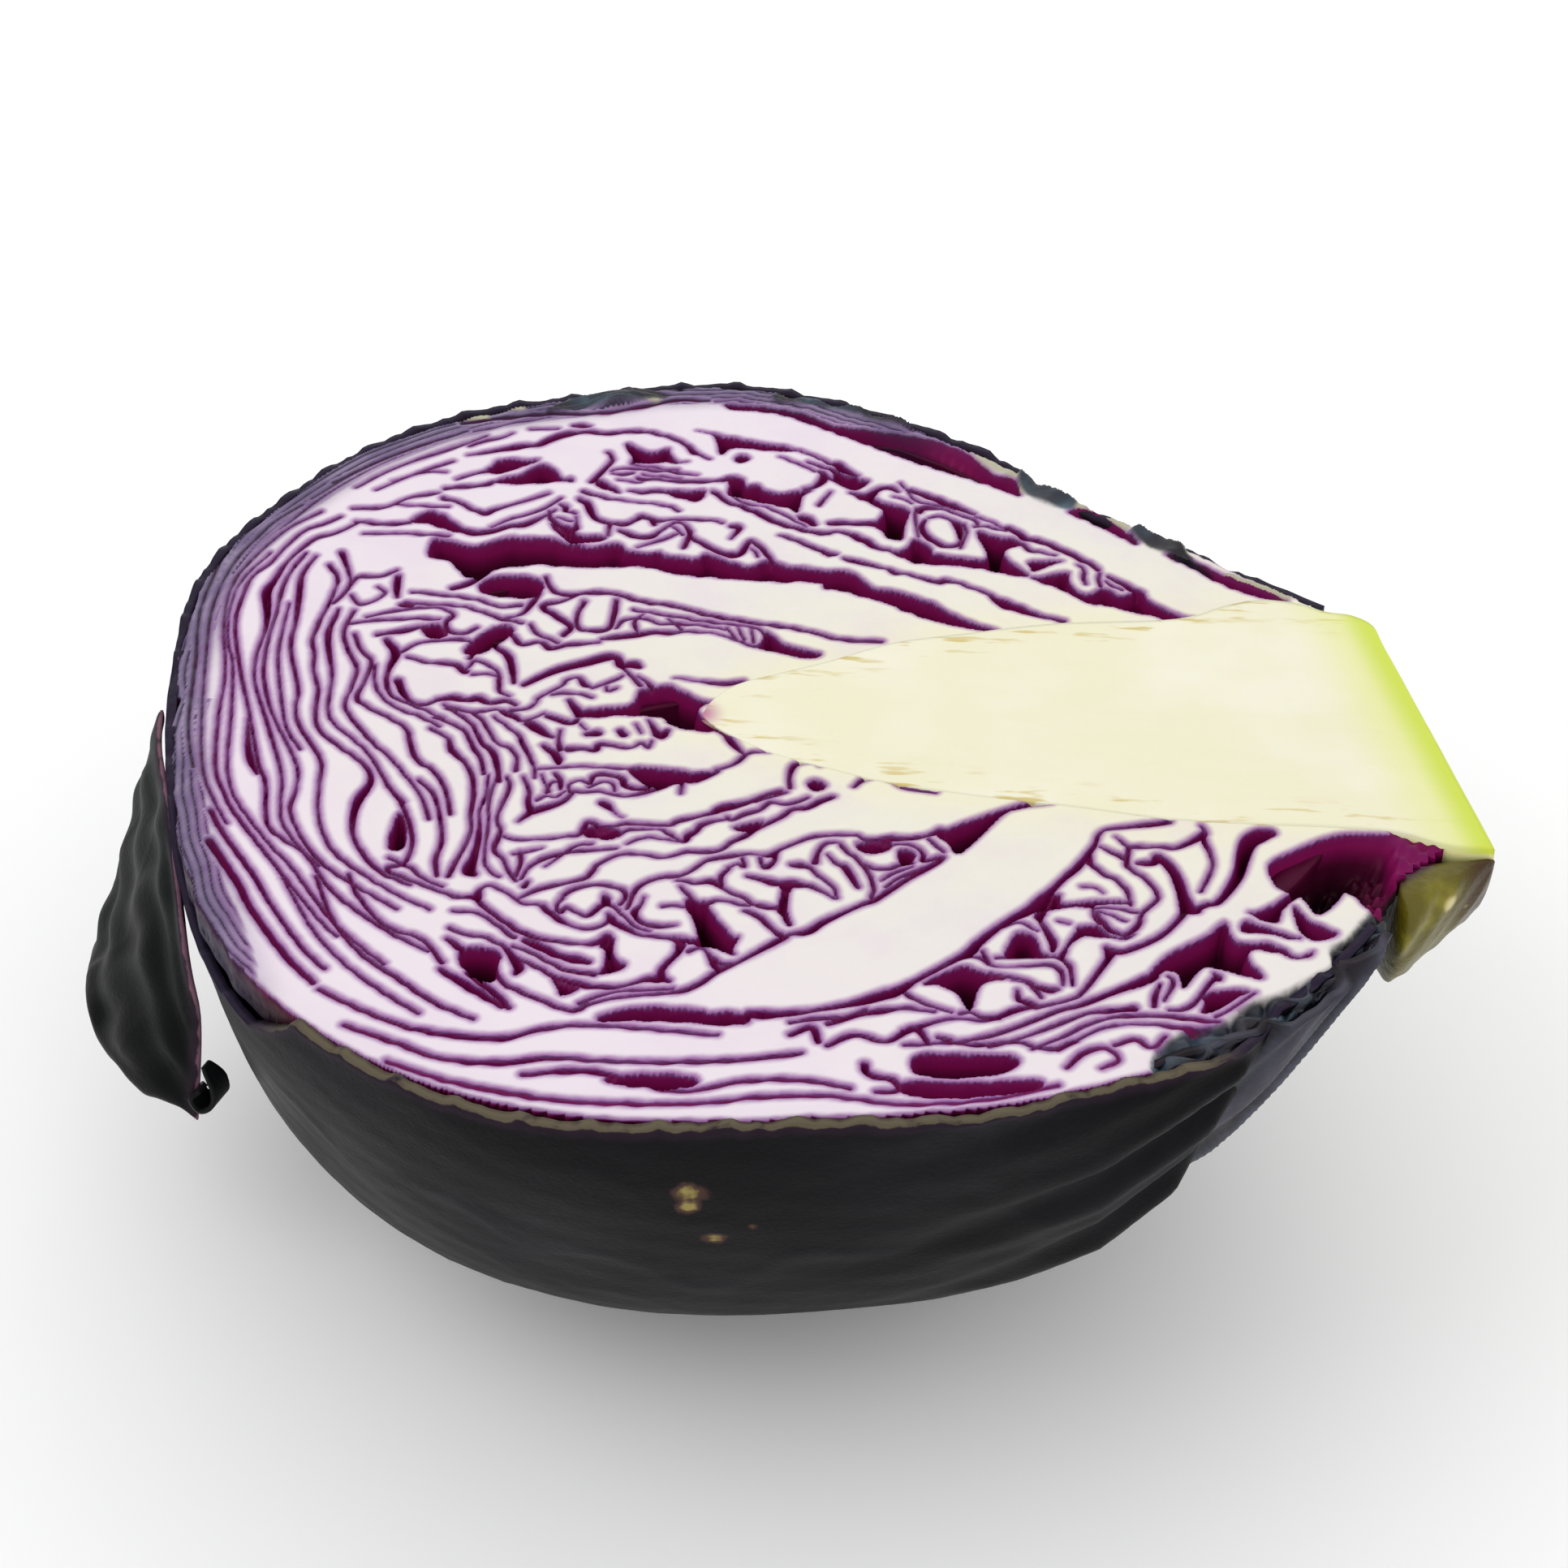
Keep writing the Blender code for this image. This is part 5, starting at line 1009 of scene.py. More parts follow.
# drawn in the cut face, in tenths of a millimetre: gaps as x, y and width, pockets and bare outer
# skin as closed outlines, and the pale dry edges of the far leaf
drawing = {
    "gaps": (
        # between the first and second leaf beside the stalk's far side
        ((0, 614, 12), (10, 603, 14), (22, 592, 10), (34, 586, 4)),
        ((26, 540, 5), (40, 534, 10), (52, 534, 16), (60, 546, 10), (70, 555, 10), (84, 555, 9), (94, 548, 4)),
        ((0, 460, 9), (20, 463, 9), (40, 462, 9), (74, 464, 14)),
        ((0, 438, 5), (16, 440, 5), (46, 424, 12), (70, 403, 7), (86, 400, 5)),
        ((134, 476, 5), (130, 460, 8), (136, 442, 9), (150, 424, 9), (168, 414, 8), (182, 418, 6), (186, 434, 5),
         (182, 466, 12), (172, 480, 5), (156, 487, 4), (140, 482, 4)),
        ((126, 496, 6), (130, 506, 10), (146, 509, 7), (164, 504, 5), (204, 482, 5), (210, 470, 4)),
        ((122, 506, 5), (120, 486, 4), (126, 436, 4)),
        ((112, 552, 8), (160, 524, 12), (204, 497, 5)),
        ((96, 568, 3), (108, 550, 3), (116, 530, 4), (134, 519, 4), (156, 515, 3), (176, 507, 3)),
        ((88, 534, 3), (102, 528, 3), (114, 518, 3)),
        ((190, 470, 4), (194, 450, 4), (186, 412, 4)),
        ((206, 466, 5), (224, 466, 4), (250, 458, 5)),
        ((206, 490, 3), (220, 484, 3), (246, 466, 3)),
        ((252, 465, 8), (268, 452, 10), (280, 438, 10), (300, 433, 9), (340, 406, 9), (374, 378, 7), (380, 368, 5)),
        ((266, 434, 5), (286, 410, 7), (300, 407, 4), (320, 400, 3)),
        ((352, 380, 3), (360, 366, 4), (359, 350, 5), (362, 334, 4)),
        ((382, 360, 4), (380, 346, 5), (383, 330, 5)),
        ((394, 354, 5), (426, 326, 10), (440, 316, 7)),
        ((390, 342, 3), (400, 330, 4), (412, 323, 4)),
        # between the second and third leaf
        ((10, 385, 7), (-4, 386, 7)),
        ((24, 374, 4), (40, 369, 9), (80, 355, 4), (96, 346, 8), (114, 342, 4), (154, 326, 8), (168, 330, 8),
         (186, 324, 5), (224, 304, 5), (238, 290, 10), (254, 278, 18), (300, 254, 7), (316, 250, 6), (330, 244, 8)),
        # near side, folds between the great rib and the leaf by the stem
        ((462, -180, 7), (440, -186, 8), (386, -199, 4), (373, -210, 5), (366, -234, 6), (346, -274, 9),
         (328, -298, 7), (314, -320, 8), (302, -340, 16), (286, -360, 14), (266, -376, 9), (248, -394, 7),
         (224, -424, 10), (214, -442, 13), (194, -458, 6), (144, -502, 6)),
        ((362, -243, 2), (360, -262, 9), (364, -270, 6), (376, -284, 6), (394, -298, 5), (406, -316, 5),
         (410, -344, 4)),
        ((350, -313, 2), (364, -312, 3), (376, -322, 2)),
        ((374, -234, 3), (398, -250, 7), (406, -258, 3)),
        ((410, -232, 5), (407, -266, 6), (414, -278, 5), (428, -290, 5), (444, -326, 5), (424, -358, 5),
         (420, -376, 6), (412, -390, 6), (400, -399, 5), (386, -392, 8), (376, -378, 7), (368, -360, 4)),
        ((394, -214, 2), (410, -231, 5), (430, -230, 5), (466, -230, 5), (482, -222, 7), (503, -204, 10),
         (506, -194, 5), (502, -185, 3)),
        ((503, -206, 8), (513, -246, 4), (512, -270, 4), (497, -314, 4)),
        ((420, -264, 5), (440, -260, 9), (448, -250, 12), (466, -280, 12), (476, -326, 14), (480, -344, 19),
         (490, -348, 12)),
        ((490, -346, 8), (504, -337, 7), (520, -328, 8), (544, -280, 13), (558, -220, 20), (574, -200, 24),
         (588, -194, 16)),
        ((476, -346, 12), (470, -364, 6), (444, -400, 6), (404, -428, 7), (386, -430, 12), (380, -426, 8)),
        ((384, -432, 13), (378, -450, 7), (350, -504, 5), (336, -518, 4), (294, -536, 4)),
        ((302, -364, 8), (300, -380, 5), (314, -416, 9), (314, -434, 5)),
        ((320, -379, 2), (334, -382, 3)),
        ((364, -354, 3), (366, -368, 5), (372, -380, 6)),
        ((370, -356, 3), (404, -374, 3)),
        ((364, -352, 3), (380, -350, 3), (418, -356, 5)),
        ((254, -392, 3), (270, -384, 3), (284, -389, 4), (296, -398, 3)),
        ((229, -440, 4), (234, -452, 6), (240, -462, 3)),
        ((200, -453, 5), (214, -450, 5), (230, -454, 4), (240, -464, 3), (260, -466, 2), (310, -460, 5),
         (322, -466, 6), (326, -480, 5), (326, -494, 3)),
        ((324, -444, 5), (334, -460, 6), (338, -494, 3)),
        ((246, -450, 4), (310, -445, 4), (326, -449, 4)),
        ((240, -479, 6), (280, -488, 4), (306, -504, 9), (320, -502, 4)),
        ((266, -489, 3), (284, -494, 3), (294, -506, 5), (300, -518, 4)),
        ((272, -508, 4), (274, -522, 7), (284, -528, 9), (294, -530, 5)),
        ((204, -552, 4), (216, -548, 4), (230, -556, 5), (250, -554, 8), (266, -544, 9), (284, -536, 6),
         (310, -530, 4)),
        ((140, -520, 6), (154, -532, 5), (194, -550, 4)),
        ((140, -586, 10), (176, -568, 5), (200, -560, 3), (224, -562, 4), (250, -558, 5)),
        ((426, -476, 10), (410, -488, 10), (346, -528, 6), (320, -540, 6), (230, -592, 5), (140, -610, 4)),
        ((410, -530, 10), (364, -539, 5), (340, -550, 5), (286, -584, 4), (240, -606, 4)),
        ((510, -546, 5), (486, -546, 7), (460, -542, 7), (430, -541, 5), (400, -544, 6), (374, -550, 4),
         (350, -564, 4), (326, -584, 4), (290, -606, 4)),
        ((500, -556, 4), (478, -562, 8), (420, -556, 3), (370, -568, 4), (320, -606, 4)),
        ((442, -486, 4), (436, -506, 6), (434, -524, 6)),
        # the leaf edge that folds to and fro beside the stem
        ((508, -462, 4), (512, -470, 10), (504, -476, 6), (482, -516, 5), (466, -529, 5), (452, -530, 4)),
        ((452, -470, 3), (458, -482, 5), (446, -514, 3)),
        ((554, -494, 4), (524, -524, 4), (506, -538, 4)),
        # far side, towards the head's top
        ((-394, 692, 6), (-380, 694, 8), (-370, 694, 4)),
        ((-540, 604, 3), (-513, 614, 6), (-466, 633, 12), (-441, 638, 9), (-426, 653, 12), (-404, 669, 11),
         (-372, 678, 8), (-341, 675, 9), (-316, 681, 7), (-291, 684, 8), (-260, 675, 6), (-235, 662, 6),
         (-222, 650, 6), (-210, 634, 9), (-200, 625, 4), (-185, 616, 3)),
        ((-336, 625, 5), (-329, 612, 5), (-329, 597, 6), (-351, 546, 8)),
        ((-506, 564, 8), (-529, 554, 5), (-548, 541, 3)),
        ((-560, 516, 8), (-520, 525, 6), (-502, 530, 9), (-494, 537, 6)),
        ((-326, 575, 3), (-316, 581, 3), (-288, 584, 6), (-269, 581, 6), (-248, 581, 5), (-229, 577, 6),
         (-200, 573, 3)),
        ((-298, 594, 3), (-229, 584, 3)),
        ((-285, 559, 6), (-269, 558, 8), (-251, 558, 5), (-216, 555, 8), (-169, 559, 6), (-154, 566, 8),
         (-144, 570, 6)),
        ((-323, 569, 4), (-310, 567, 5), (-294, 572, 5)),
        ((-313, 553, 3), (-298, 550, 3), (-279, 550, 3)),
        ((-279, 569, 3), (-223, 563, 3)),
        ((-172, 531, 8), (-151, 506, 7), (-132, 497, 8), (-98, 476, 10), (-79, 460, 9), (-23, 437, 8), (-1, 436, 7)),
        ((-144, 519, 3), (-123, 503, 4), (-104, 499, 3), (-80, 488, 4), (-34, 451, 3)),
        ((-23, 594, 5), (-16, 584, 9), (-17, 570, 11), (-27, 554, 6), (-42, 545, 4)),
        ((-14, 584, 6), (18, 556, 4), (32, 550, 4)),
        ((-82, 628, 3), (-29, 594, 4)),
        ((-41, 616, 3), (-4, 597, 8), (12, 581, 12), (28, 576, 14)),
        ((-19, 506, 5), (-4, 540, 3)),
        ((-294, 526, 5), (-276, 523, 7), (-258, 528, 8), (-246, 528, 8)),
        ((-360, 519, 7), (-323, 505, 5), (-300, 500, 3), (-254, 494, 3), (-232, 488, 5), (-219, 479, 4)),
        ((-363, 500, 8), (-351, 488, 10), (-335, 453, 8), (-298, 440, 8), (-279, 452, 5), (-269, 461, 9),
         (-248, 452, 7), (-223, 456, 4), (-176, 458, 5), (-154, 453, 4)),
        ((-254, 450, 6), (-250, 442, 5)),
        ((-140, 444, 8), (-129, 442, 8), (-139, 414, 3)),
        ((-70, 426, 4), (-48, 416, 6), (2, 384, 8)),
        ((-560, 490, 7), (-541, 484, 6), (-510, 462, 7), (-494, 456, 9), (-482, 466, 7), (-444, 488, 4),
         (-410, 512, 4)),
        ((-560, 440, 22), (-544, 426, 18), (-526, 414, 12), (-504, 406, 12), (-480, 412, 10), (-457, 425, 9),
         (-436, 431, 10), (-412, 452, 4), (-396, 470, 3)),
        ((-482, 422, 3), (-457, 444, 4), (-435, 456, 4), (-413, 472, 5), (-391, 500, 4)),
        ((-390, 484, 4), (-382, 480, 8), (-380, 469, 5), (-366, 464, 4)),
        ((-404, 466, 4), (-400, 450, 6), (-388, 436, 8), (-364, 424, 10), (-362, 440, 4), (-364, 456, 3)),
        ((-391, 452, 3), (-369, 444, 4)),
        ((-314, 438, 6), (-314, 412, 4)),
        ((-298, 425, 6), (-285, 416, 9), (-266, 409, 9), (-251, 412, 8), (-241, 425, 4), (-223, 447, 4),
         (-210, 447, 4), (-201, 434, 6), (-198, 419, 7), (-204, 388, 5)),
        ((-269, 384, 3), (-235, 406, 4), (-216, 422, 3)),
        ((-226, 440, 3), (-216, 431, 4), (-207, 419, 4)),
        ((-198, 416, 7), (-151, 379, 9), (-132, 375, 12), (-122, 381, 9), (-110, 410, 6), (-91, 388, 7),
         (-76, 360, 6)),
        ((-110, 394, 2), (-102, 382, 4), (-98, 372, 3)),
        ((-457, 678, 3), (-416, 684, 3)),
        ((-541, 628, 5), (-519, 644, 5), (-498, 653, 4), (-482, 666, 3)),
        # near side: thin leaves by the second and third leaf
        ((-412, -140, 3), (-410, -180, 4), (-414, -210, 4), (-410, -240, 5), (-408, -270, 8), (-409, -300, 9),
         (-412, -326, 16), (-404, -336, 8)),
        ((-400, -140, 3), (-404, -170, 4), (-404, -200, 4), (-400, -230, 4), (-396, -300, 4), (-388, -324, 4),
         (-372, -338, 4)),
        ((-388, -140, 4), (-382, -164, 5), (-390, -220, 4), (-382, -250, 5), (-386, -284, 6), (-372, -304, 4),
         (-360, -330, 5), (-350, -344, 4)),
        ((-366, -140, 4), (-356, -166, 5), (-354, -190, 7), (-349, -208, 10), (-362, -230, 3)),
        ((-346, -208, 12), (-312, -187, 6), (-298, -164, 4)),
        ((-344, -184, 4), (-332, -174, 3), (-320, -178, 4), (-310, -166, 3)),
        ((-334, -168, 4), (-330, -150, 4), (-320, -146, 3)),
        ((-301, -164, 4), (-280, -164, 5), (-264, -162, 4), (-245, -168, 4), (-220, -168, 5), (-183, -146, 6)),
        ((-161, -144, 5), (-161, -160, 4)),
        ((-259, -186, 10), (-253, -190, 10), (-244, -202, 3), (-230, -214, 2)),
        ((-376, -259, 4), (-358, -265, 4), (-326, -262, 3), (-301, -256, 4), (-282, -250, 5), (-274, -226, 7),
         (-258, -231, 6), (-239, -231, 5), (-220, -225, 5), (-173, -225, 5), (-158, -215, 6), (-120, -199, 6),
         (-108, -188, 12), (-89, -180, 8), (-70, -170, 7), (-51, -156, 6), (-33, -148, 6)),
        ((-233, -250, 4), (-220, -237, 5), (-183, -234, 3), (-170, -240, 6), (-161, -249, 4), (-148, -254, 5),
         (-145, -243, 8), (-136, -234, 6), (-129, -221, 6), (-114, -212, 4), (-101, -209, 4)),
        ((-220, -265, 3), (-208, -256, 4), (-189, -250, 3), (-164, -255, 3), (-146, -252, 3)),
        ((-98, -203, 5), (-92, -210, 4), (-76, -197, 6), (-58, -187, 5), (-45, -171, 5), (-26, -174, 4),
         (-11, -168, 5), (2, -159, 4)),
        ((-64, -171, 4), (-26, -149, 4)),
        ((33, -156, 8), (18, -165, 8), (2, -178, 7), (-17, -184, 6), (-29, -199, 6), (-61, -226, 7), (-73, -240, 8),
         (-89, -253, 5), (-101, -268, 5), (-120, -274, 6), (-145, -276, 5), (-170, -287, 4), (-220, -284, 4),
         (-251, -306, 5), (-258, -321, 6), (-270, -337, 5), (-317, -356, 6), (-345, -378, 3)),
        ((-345, -340, 4), (-336, -315, 4), (-304, -290, 6), (-232, -274, 3)),
        ((-352, -290, 6), (-349, -310, 5), (-352, -334, 5)),
        ((-360, -294, 4), (-326, -280, 3)),
        ((-317, -315, 3), (-286, -275, 5), (-264, -268, 4)),
        ((-339, -354, 7), (-336, -346, 5)),
        # near side: folds over the great rib
        ((174, -215, 12), (158, -224, 5), (139, -231, 7), (111, -234, 8), (80, -237, 5), (68, -231, 4), (49, -231, 4),
         (14, -237, 5), (-17, -256, 5), (-29, -265, 5), (-36, -274, 9), (-51, -276, 3), (-73, -276, 5),
         (-108, -287, 7), (-120, -293, 5), (-133, -309, 5), (-148, -321, 5), (-170, -326, 5), (-189, -337, 5),
         (-201, -353, 6), (-208, -387, 4)),
        ((108, -249, 4), (121, -243, 4), (139, -246, 4), (152, -259, 5), (153, -274, 8), (164, -271, 5),
         (174, -265, 5)),
        ((158, -231, 4), (178, -256, 4)),
        ((80, -284, 4), (93, -293, 5), (111, -293, 5), (124, -284, 5), (140, -279, 4)),
        ((108, -328, 4), (124, -309, 5), (156, -288, 5)),
        ((102, -315, 3), (118, -299, 4), (140, -287, 3)),
        ((178, -265, 5), (168, -278, 7), (133, -312, 6), (96, -352, 7), (77, -365, 6), (36, -396, 8), (18, -415, 9),
         (-4, -423, 4), (-17, -434, 9), (-61, -474, 5), (-79, -487, 7), (-92, -499, 6), (-108, -518, 6),
         (-133, -534, 6), (-183, -543, 4), (-233, -559, 5), (-248, -571, 6), (-267, -571, 6), (-336, -537, 6)),
        ((18, -287, 8), (21, -265, 5), (30, -249, 4), (46, -246, 3), (52, -256, 5), (80, -290, 5), (93, -328, 5),
         (91, -349, 5)),
        ((33, -271, 3), (46, -287, 5), (58, -296, 9), (74, -331, 5)),
        ((-11, -293, 5), (2, -293, 9), (14, -299, 5), (27, -315, 4), (43, -331, 4), (49, -353, 3)),
        ((-33, -271, 6), (-33, -287, 5), (-42, -299, 8), (-48, -293, 4), (-51, -281, 4)),
        ((-89, -303, 5), (-79, -296, 4), (-70, -299, 5), (-73, -284, 4)),
        ((-95, -340, 5), (-97, -321, 6), (-89, -306, 5)),
        ((-64, -318, 5), (-29, -328, 10), (-11, -328, 12), (11, -331, 8), (30, -340, 4), (46, -353, 3)),
        ((-151, -331, 4), (-129, -334, 5), (-108, -331, 10), (-95, -340, 5), (-79, -353, 5), (-64, -359, 5),
         (-51, -371, 6), (-20, -376, 8)),
        ((-108, -371, 7), (-95, -366, 4), (-58, -373, 4)),
        ((-64, -384, 4), (-48, -390, 7), (-26, -415, 6), (-17, -424, 9)),
        ((-145, -343, 4), (-130, -364, 5)),
        ((-189, -365, 3), (-192, -381, 4), (-198, -393, 9), (-195, -403, 6), (-183, -415, 6), (-164, -418, 7),
         (-145, -415, 3)),
        ((-164, -381, 5), (-151, -379, 4), (-139, -380, 4)),
        ((-226, -403, 8), (-220, -415, 10), (-204, -424, 8), (-189, -434, 5), (-151, -439, 6), (-136, -446, 8)),
        ((-220, -390, 4), (-194, -420, 4), (-176, -428, 3)),
        ((-289, -368, 4), (-279, -356, 5), (-264, -348, 5), (-245, -345, 5), (-226, -348, 5), (-214, -356, 6),
         (-212, -368, 5), (-217, -380, 5)),
        ((-289, -371, 4), (-295, -387, 4), (-289, -399, 6), (-282, -390, 5), (-267, -399, 4), (-254, -403, 6),
         (-236, -381, 7), (-217, -390, 3)),
        ((-311, -390, 7), (-289, -412, 8), (-276, -421, 4), (-258, -428, 4), (-239, -423, 4), (-229, -412, 5),
         (-229, -399, 5)),
        ((-395, -378, 12), (-392, -362, 5), (-379, -356, 4), (-354, -371, 4), (-339, -384, 4), (-320, -387, 4),
         (-311, -390, 5)),
        ((-420, -378, 5), (-398, -378, 9)),
        ((-392, -384, 6), (-379, -399, 6), (-323, -443, 7), (-258, -456, 5), (-239, -453, 7), (-226, -440, 9)),
        ((-420, -406, 4), (-386, -409, 4), (-339, -449, 6)),
        ((-326, -453, 8), (-314, -459, 12), (-276, -481, 10), (-258, -484, 12), (-245, -488, 8)),
        ((-339, -465, 4), (-317, -474, 5), (-279, -499, 6), (-258, -506, 7), (-236, -509, 8)),
        ((-339, -481, 5), (-301, -503, 6), (-289, -512, 6), (-248, -528, 9), (-220, -531, 6), (-195, -526, 5),
         (-173, -515, 7), (-158, -512, 12)),
        ((-136, -449, 12), (-139, -465, 8), (-154, -493, 7), (-154, -509, 10), (-145, -515, 6)),
        ((-126, -462, 5), (-114, -454, 4), (-104, -459, 4), (-92, -484, 9), (-86, -490, 9)),
        ((-95, -471, 6), (-83, -481, 5), (-70, -478, 3)),
        ((-248, -562, 4), (-226, -546, 4), (-201, -537, 4), (-139, -528, 4)),
        ((-420, -437, 5), (-401, -446, 5), (-382, -449, 5), (-364, -456, 5), (-348, -468, 6), (-328, -500, 12),
         (-330, -514, 5)),
        ((-351, -518, 6), (-342, -531, 6), (-326, -543, 5)),
        ((-420, -456, 6), (-402, -472, 9)),
        ((-420, -512, 7), (-382, -540, 12), (-339, -571, 8)),
        ((-386, -516, 9), (-348, -552, 8), (-330, -574, 6)),
        ((144, -502, 8), (129, -516, 14), (114, -524, 16), (70, -544, 8), (20, -559, 6), (-14, -566, 12),
         (-44, -568, 14)),
        ((49, -578, 6), (80, -562, 8), (111, -552, 8), (143, -546, 5), (174, -550, 4)),
        ((5, -578, 5), (33, -571, 6), (68, -565, 5), (93, -550, 5)),
        # heart
        ((-86, 160, 4), (-105, 168, 4), (-125, 180, 3), (-150, 188, 3), (-180, 189, 4), (-205, 185, 7),
         (-230, 183, 9), (-255, 176, 11), (-296, 164, 5)),
        ((-128, 200, 3), (-114, 176, 4)),
        ((-114, 204, 3), (-103, 174, 4)),
        ((-96, 204, 3), (-90, 170, 4)),
        ((-390, 56, 7), (-354, 88, 11), (-305, 114, 14), (-284, 124, 16), (-272, 124, 10), (-264, 110, 13),
         (-248, 110, 15), (-240, 106, 8)),
        ((-269, 110, 5), (-254, 92, 4), (-234, 64, 6)),
        ((-98, 82, 5), (-125, 74, 8), (-170, 80, 2), (-190, 82, 2)),
        ((-240, 84, 2), (-228, 74, 4), (-220, 64, 8)),
        ((-130, -22, 7), (-114, -34, 6), (-104, -50, 9), (-86, -73, 4), (-74, -70, 4), (-54, -68, 3)),
        ((-84, -76, 5), (-92, -90, 6), (-102, -100, 4), (-120, -110, 3)),
        ((-350, -122, 3), (-290, -113, 3), (-260, -114, 3), (-230, -113, 4)),
        ((-348, -74, 6), (-334, -86, 10), (-326, -100, 10), (-324, -110, 4)),
        ((-326, -80, 8), (-330, -60, 4), (-330, -40, 4)),
        ((-316, -79, 8), (-298, -76, 6), (-280, -78, 8), (-274, -66, 7), (-236, -70, 4), (-222, -60, 5),
         (-212, -68, 4), (-208, -56, 3)),
        ((-294, -46, 8), (-280, -42, 10)),
        ((-252, -36, 8), (-246, -44, 10)),
        ((-216, -12, 3), (-206, -30, 8), (-198, -42, 14), (-190, -32, 7)),
        ((-232, -22, 3), (-224, -38, 3)),
        ((-306, -24, 3), (-296, -36, 3)),
        ((-400, 0, 5), (-380, 4, 5), (-370, 16, 4), (-366, 30, 4), (-340, 56, 4), (-334, 70, 4), (-320, 76, 4),
         (-310, 64, 8), (-302, 58, 5)),
        ((-350, 36, 4), (-334, 42, 4), (-316, 41, 4), (-296, 34, 4)),
        ((-298, 54, 4), (-270, 74, 4), (-260, 84, 3)),
        ((-280, 60, 3), (-276, 50, 5), (-266, 56, 4)),
        ((-326, 26, 5), (-316, 10, 10), (-306, -2, 14), (-294, 4, 12)),
        ((-350, -10, 8), (-318, -22, 10), (-310, -14, 6)),
        ((-410, -4, 8), (-396, -12, 10), (-384, -20, 5), (-368, -14, 4), (-356, -4, 4)),
        ((-374, -26, 12), (-362, -36, 14), (-338, -56, 4)),
        ((-500, 16, 8), (-480, 22, 10), (-460, 18, 10), (-446, 22, 11), (-430, 14, 7), (-410, 20, 8), (-396, 12, 5)),
        ((-490, 6, 4), (-466, -4, 5), (-444, -6, 5), (-420, 0, 4), (-406, -6, 6)),
        ((-470, 90, 4), (-460, 106, 5), (-430, 84, 4), (-424, 60, 6), (-420, 40, 5), (-406, 30, 3)),
        ((-462, 74, 4), (-444, 76, 4), (-428, 74, 4)),
        ((-280, -154, 4), (-264, -142, 4), (-250, -146, 4), (-246, -160, 4)),
        ((-344, -134, 3), (-330, -166, 4)),
        ((-326, -130, 5), (-318, -144, 6), (-316, -160, 4)),
        ((-304, -166, 4), (-306, -150, 4), (-294, -142, 4), (-280, -146, 5), (-276, -132, 6), (-260, -127, 6),
         (-240, -134, 8), (-234, -148, 8), (-216, -154, 9), (-204, -152, 8)),
        ((-22, -140, 5), (-24, -120, 5), (-21, -98, 7), (-10, -88, 6), (6, -86, 4), (14, -93, 3)),
        ((60, -134, 4), (70, -120, 6), (90, -110, 5), (110, -120, 4), (124, -132, 4), (165, -139, 4)),
        # fifth and sixth upper leaf
        ((83, 182, 6), (30, 183, 6), (-30, 203, 6), (-100, 216, 6), (-160, 230, 7), (-200, 245, 6), (-250, 255, 7),
         (-300, 273, 7), (-360, 265, 7), (-380, 280, 6), (-390, 304, 5)),
        ((-70, 180, 4), (-90, 204, 4), (-130, 210, 4), (-170, 216, 5), (-260, 234, 4)),
        ((-130, 196, 3), (-160, 204, 4), (-190, 206, 6), (-220, 204, 4), (-240, 214, 5), (-270, 210, 5),
         (-280, 190, 4)),
        ((-190, 194, 4), (-210, 216, 3)),
        ((-250, 184, 4), (-256, 206, 5), (-246, 224, 3)),
        ((-286, 256, 6), (-286, 220, 7), (-290, 190, 6), (-310, 182, 7), (-332, 190, 6), (-336, 220, 5),
         (-330, 250, 6)),
        ((-340, 266, 5), (-360, 250, 5), (-386, 236, 8), (-360, 210, 9), (-342, 190, 8), (-350, 170, 6)),
        ((-394, 266, 5), (-404, 236, 8), (-414, 214, 5), (-440, 204, 4)),
        ((-570, 258, 5), (-500, 249, 5), (-470, 242, 5), (-444, 230, 5), (-416, 236, 5)),
        ((-576, 232, 5), (-500, 228, 4), (-470, 218, 5), (-436, 202, 6), (-410, 196, 5)),
        ((-624, 196, 4), (-580, 214, 5), (-550, 222, 4), (-520, 220, 4), (-506, 206, 5), (-514, 190, 6),
         (-506, 170, 7), (-486, 166, 5), (-470, 180, 4)),
        ((-644, 180, 5), (-600, 190, 5), (-550, 196, 5), (-524, 196, 4)),
        ((-602, 156, 8), (-570, 166, 8), (-544, 180, 5)),
        ((-564, 120, 6), (-544, 140, 4), (-510, 149, 5), (-480, 152, 6), (-466, 136, 5), (-470, 110, 6)),
        ((-554, 108, 5), (-520, 97, 5), (-490, 96, 8), (-472, 80, 10)),
        ((-460, 164, 6), (-440, 140, 7), (-420, 120, 9), (-410, 90, 8), (-404, 60, 5)),
        ((-446, 182, 5), (-420, 166, 6), (-404, 146, 7), (-380, 152, 6), (-362, 140, 10), (-340, 148, 7),
         (-300, 156, 4)),
        ((-398, 192, 4), (-384, 170, 5), (-356, 154, 5)),
        ((-660, 268, 4), (-650, 288, 5), (-620, 293, 5), (-600, 308, 4)),
        ((-596, 294, 8), (-594, 270, 9), (-590, 246, 5)),
        ((-516, 270, 8), (-494, 284, 10), (-474, 310, 8)),
        ((-580, 226, 9), (-568, 226, 9)),
        ((-620, 266, 3), (-608, 254, 4), (-620, 234, 4), (-640, 226, 5), (-654, 246, 4)),
        # left: the long thin leaves
        ((-700, 434, 4), (-720, 416, 5), (-745, 397, 4), (-764, 360, 4), (-780, 315, 4), (-799, 280, 4),
         (-804, 220, 5), (-800, 160, 5), (-773, 60, 5), (-747, -20, 4), (-714, -130, 5), (-697, -170, 5),
         (-680, -250, 5), (-655, -280, 5), (-620, -310, 4), (-580, -370, 5), (-540, -410, 5), (-490, -450, 5),
         (-440, -480, 4)),
